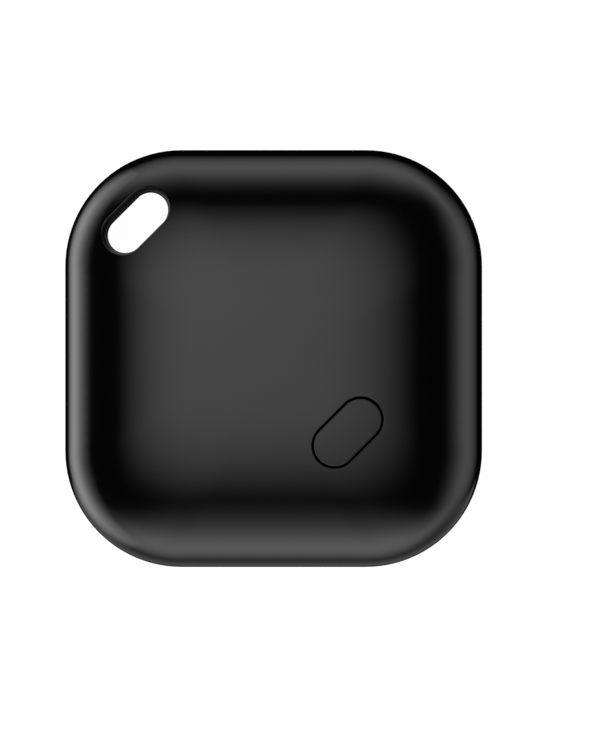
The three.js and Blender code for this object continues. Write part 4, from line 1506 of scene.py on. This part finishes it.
core_profile = [
    (0, 0.25), (8.1, 0.25), (8.2, 0.32), (8.4, 0.92), (8.4, 2.1), (9.42, 2.12), (9.5, 2.2),
    (9.5, 2.8), (9.42, 2.88), (0, 2.88),
]
for name, profile, steps, material, slot in (
    ("can", can_profile, 128, can_steel, "steel"),
    ("cap", cap_profile, 128, can_steel, "steel"),
    ("seal", seal_profile, 128, nylon, "nylon"),
    ("core", core_profile, 96, cell_powder, "cell_core"),
):
    mesh = lathed(profile, CELL_PLACE, steps, CELL_LOW)
    finished("cell_" + name, mesh, [material], slot, "coin_cell_" + name)

# ---- Positive clip ----
# A strap of spring steel, 0.2 mm thick, bent over the cell and soldered to the board by a foot at each
# end. Two pressed ribs stiffen its span.

CLIP = {"width": 4.5, "sheet": 0.2, "inner": 10.35, "foot": 1.35, "bend": 0.35, "burr": 0.03}
CLIP_EASE = 0.02
CLIP_HOLE = {"share": 0.6, "radius": 0.28}
RIBS_X = (-1.1, 1.1)
RIB = {"width": 0.5, "length": 11.0, "depth": 0.06}

spring_steel = metal("spring_steel", (0.58, 0.57, 0.55), 0.24, 0.1, stretch=(0.05, 1, 1))

cell_top = CELL_LOW + CELL_HEIGHT
foot_low, foot_top = BOARD_TOP + CLIP_EASE, BOARD_TOP + CLIP["sheet"]
clip_high, sheet_top = cell_top + CLIP_EASE, cell_top + CLIP["sheet"]
clip_in, clip_out = CLIP["inner"], CLIP["inner"] + CLIP["sheet"]
foot_end = clip_out + CLIP["foot"]
bend_in, bend_out = CLIP["bend"], CLIP["bend"] + CLIP["sheet"] - CLIP_EASE
half_clip = [
    (0, sheet_top),
    *corner(clip_out - bend_out, sheet_top - bend_out, bend_out, 90, 0),
    *corner(clip_out + 0.15, foot_top + 0.15, 0.15, 180, 270, 4),
    (foot_end, foot_top),
    (foot_end, foot_low),
    *corner(clip_in + bend_out, foot_low + bend_out, bend_out, 270, 180, 4),
    *corner(clip_in - bend_in, clip_high - bend_in, bend_in, 0, 90),
    (0, clip_high),
]
clip_section = half_clip + [(-across, z) for across, z in reversed(half_clip[1:-1])]
clip_edge = CLIP["width"] / 2
clip = Draft()
clip_ends = []
for x in (-clip_edge, CLIP["burr"] - clip_edge, clip_edge - CLIP["burr"], clip_edge):
    heights = [z for _, z in clip_section]
    clip_ends.append(clip.loop([(x, y) for y, _ in clip_section], heights))
for one, other in zip(clip_ends, clip_ends[1:]):
    clip.band(one, other)
clip.faces += [tuple(clip_ends[0]), tuple(clip_ends[-1])]
clip_steps = []
for x in RIBS_X:
    rib = box_mesh(RIB["width"], RIB["length"], sheet_top - RIB["depth"], sheet_top + 0.2, 0.05)
    clip_steps.append(("DIFFERENCE", moved(rib, CELL_PLACE[0] + x, CELL_PLACE[1])))
for end in (-1, 1):
    hole_place = (CELL_PLACE[0], CELL_PLACE[1] + end * (clip_out + CLIP["foot"] * CLIP_HOLE["share"]))
    hole = prism("foot_hole", circle_loop(hole_place, CLIP_HOLE["radius"], 24), 0, BOARD_TOP + 1)
    clip_steps.append(("DIFFERENCE", hole))
clip_mesh = carved(moved(clip.solid("clip"), *CELL_PLACE), clip_steps)
finished("cell_clip", clip_mesh, [spring_steel], "steel", "positive_clip")

# ---- Negative contact ----
# A gold-plated spring disc soldered to the board under the cell. Six slots part its raised middle into
# fingers that press on the cell's cap.

CONTACT_PROFILE = ((0, 0), (3.98, 0), (4.0, 0.02), (4.0, 0.08), (3.97, 0.1), (2.9, 0.1), (2.6, 0.11),
                   (1.6, 0.15), (1.0, 0.2), (0.5, 0.225), (0, 0.23))
CONTACT_FINGERS = 6
FINGER_SLOT = {"length": 1.7, "width": 0.35, "from_middle": 2.15}

contact_steps = []
for i in range(CONTACT_FINGERS):
    cut = box_mesh(FINGER_SLOT["length"], FINGER_SLOT["width"], BOARD_TOP + 0.02, BOARD_TOP + 1)
    moved(cut, FINGER_SLOT["from_middle"], 0)
    contact_steps.append(("DIFFERENCE", moved(cut, *CELL_PLACE, angle=360 * i / CONTACT_FINGERS)))
contact = carved(lathed(CONTACT_PROFILE, CELL_PLACE, base=BOARD_TOP), contact_steps)
finished("cell_contact", contact, [gold], "contact_gold", "negative_contact")

# ---- Sounder springs ----
# Two gold-plated coil springs that stand on board pads. One presses on the sounder's ceramic and the
# other on its brass, and they carry its signal when the tag is closed.

SPRING = {"radius": 0.8, "wire": 0.15, "turns": 5.0, "pad": 1.0, "low": BOARD_TOP + 0.2}
SPRINGS = (("ceramic_spring", (9.2, 6.6), 5.6), ("brass_spring", (11.8, 3.4), 5.7))


def spring_shape(sheet, radius, height, turns, wire, material):
    """Wire swept along a helix of even pitch, upright on its base."""
    helix = sheet.add("GeometryNodeCurveSpiral", None, {
        "Resolution": 40,
        "Rotations": turns,
        "Start Radius": radius,
        "End Radius": radius,
        "Height": height,
    })
    round_wire = sheet.add("GeometryNodeCurvePrimitiveCircle", None, {"Resolution": 12, "Radius": wire})
    sweep = {"Curve": helix, "Profile Curve": round_wire, "Fill Caps": True}
    return all_real(sheet, sheet.add("GeometryNodeCurveToMesh", None, sweep), material)


SPRING_TREE = shaping_tree("coil_spring", {
    "radius": "Float",
    "height": "Float",
    "turns": "Float",
    "wire": "Float",
    "material": "Material",
}, spring_shape)
for number, (name, place, top) in enumerate(SPRINGS, 1):
    values = {label: SPRING[label] for label in ("radius", "turns", "wire")}
    values.update(height=top - SPRING["low"], material=gold)
    spring_mesh = shaped(bpy.data.meshes.new("spring"), SPRING_TREE, values)
    moved(spring_mesh, *place, SPRING["low"])
    finished(name, spring_mesh, [gold], "contact_gold", f"buzzer_spring_{number}", smooth=60)
pad = [(0, 0), (SPRING["pad"], 0), (SPRING["pad"] - 0.02, COPPER), (0, COPPER)]
pad_places = [(*place, BOARD_TOP) for _, place, _ in SPRINGS]
finished("spring_pads", copied(lathed(pad, steps=40), pad_places, gold), [gold], "contact_gold")

# ---- Tact switch ----
# A surface-mount switch turned with the key: a black nylon body with a round well, a steel cover plate,
# a plunger that comes up through it, and under the plunger a snap dome of thin spring steel.

SWITCH = {"length": 4.7, "width": 3.5, "well": 1.4, "well_bottom": 2.3}
SWITCH_PLATE = {"low": 3.85, "high": 4.0, "inset": 0.04}
RIVETS = {"x": 1.9, "y": 1.3, "radius": 0.16, "depth": 0.1}
LEG = (0.42, 0.5, 0, 0.18, 0.05)
LEG_PLACE = (1.5, SWITCH["width"] / 2 + 0.12)
LEG_NOTCH = (0.5, 0.3, BOARD_TOP - 0.5, BOARD_TOP + 0.7)
PLUNGER_RADIUS = 0.9
PLUNGER_PROFILE = ((0, 3.0), (0.5, 3.0), (1.24, 3.02), (1.3, 3.08), (1.3, 3.75), (1.25, 3.8),
                   (PLUNGER_RADIUS, 3.8), (PLUNGER_RADIUS, 4.28), (0.86, 4.36), (0.78, 4.4), (0, 4.4))
DOME = {"foot": 2.35, "outer": 1.3, "inner": 1.2, "sheet": 0.08, "rise": 0.6, "bow": 2.4, "steps": 12}
CORNERS = ((-1, -1), (-1, 1), (1, -1), (1, 1))

plate_low, plate_high = SWITCH_PLATE["low"], SWITCH_PLATE["high"]
switch_size = (SWITCH["length"], SWITCH["width"])
plate_size = (size - SWITCH_PLATE["inset"] for size in switch_size)
well = prism("well", circle_loop((0, 0), SWITCH["well"], 48), SWITCH["well_bottom"])
stem_hole = prism("hole", circle_loop((0, 0), PLUNGER_RADIUS + 0.06, 48), 0)
body_steps = [("DIFFERENCE", well)]
plate_steps = [("DIFFERENCE", stem_hole)]
leg_places = []
for x, y in CORNERS:
    notch = moved(box_mesh(*LEG_NOTCH), x * LEG_PLACE[0], y * SWITCH["width"] / 2)
    body_steps.append(("DIFFERENCE", notch))
    rivet = circle_loop((x * RIVETS["x"], y * RIVETS["y"]), RIVETS["radius"], 20)
    plate_steps.append(("DIFFERENCE", prism("rivet_hole", rivet, plate_high - RIVETS["depth"])))
    spot = turned(np.array([(x * LEG_PLACE[0], y * LEG_PLACE[1])]), 45)[0]
    leg_places.append((BUTTON["x"] + spot[0], BUTTON["y"] + spot[1], BOARD_TOP))
switch_body = carved(box_mesh(*switch_size, BOARD_TOP + 0.02, plate_low - 0.002, 0.1), body_steps)
moved(switch_body, *BUTTON_PLACE, angle=45)
finished("switch_case", switch_body, [chip_epoxy], "chip_epoxy", "switch_body")
plate = carved(box_mesh(*plate_size, plate_low, plate_high, 0.05), plate_steps)
moved(plate, *BUTTON_PLACE, angle=45)
finished("switch_cover", plate, [spring_steel], "steel", "switch_plate")
legs = copied(box_mesh(*LEG), leg_places, tin, turns=45)
finished("switch_legs", legs, [tin], "steel")

plunger = lathed(PLUNGER_PROFILE, BUTTON_PLACE, 56)
finished("switch_stem", plunger, [nylon], "chip_epoxy", "switch_plunger", body="plunger")

dome_sides = []
for radius, rise in ((DOME["outer"], DOME["rise"]), (DOME["inner"], DOME["rise"] - DOME["sheet"])):
    shares = [i / DOME["steps"] for i in range(DOME["steps"] + 1)]
    dome_sides.append([(radius * share, rise * (1 - share ** DOME["bow"])) for share in shares])
dome_outside, dome_inside = dome_sides
dome = lathed(dome_outside + dome_inside[::-1], BUTTON_PLACE, 64, DOME["foot"])
dome_piece = finished("snap_dome", dome, [spring_steel], "steel", "switch_dome", smooth=60)
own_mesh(dome_piece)

# ---- Sounder ----
# The piezo disc glued under the front's roof by a ring of foam tape: a brass plate with a thin ceramic
# on its underside, silvered where the spring touches. The roof over it is the sounding board.

SOUNDER_Z = 5.95
PLATE_PROFILE = ((0, 0), (6.97, 0), (7.0, 0.03), (7.0, 0.17), (6.97, 0.2), (0, 0.2))
SILVERED = 4.15
CERAMIC_PROFILE = ((0, -0.1), (SILVERED, -0.1), (SILVERED + 0.01, -0.088), (4.48, -0.088), (4.5, -0.07),
                   (4.5, 0), (0, 0))
TAPE_PROFILE = ((5.8, 0.2), (6.98, 0.2), (6.96, 0.35), (5.82, 0.35))

brass = metal("brass", (0.82, 0.56, 0.25), 0.26, 0.1, stretch=(1, 0.04, 1))
foam_tape = speckled("foam_tape", (0.66, 0.64, 0.58), (0.52, 0.5, 0.45), 0.7, speck=0.12)

sounder_plate = lathed(PLATE_PROFILE, BUZZER, 112, SOUNDER_Z)
finished("sounder_plate", sounder_plate, [brass], "brass", "buzzer_plate", body="front_half")
ceramic = lathed(CERAMIC_PROFILE, BUZZER, 96, SOUNDER_Z)
for face in ceramic.polygons:
    reach = math.hypot(face.center.x - BUZZER[0], face.center.y - BUZZER[1])
    face.material_index = 1 if face.center.z < SOUNDER_Z - 0.094 and reach < SILVERED else 0
ceramic_looks = [white_ceramic, silver]
finished("sounder_ceramic", ceramic, ceramic_looks, "ceramic", "buzzer_ceramic", body="front_half")
tape = lathed(TAPE_PROFILE, BUZZER, 96, SOUNDER_Z)
finished("sounder_tape", tape, [foam_tape], "adhesive", "buzzer_adhesive", body="front_half")

low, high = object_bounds()
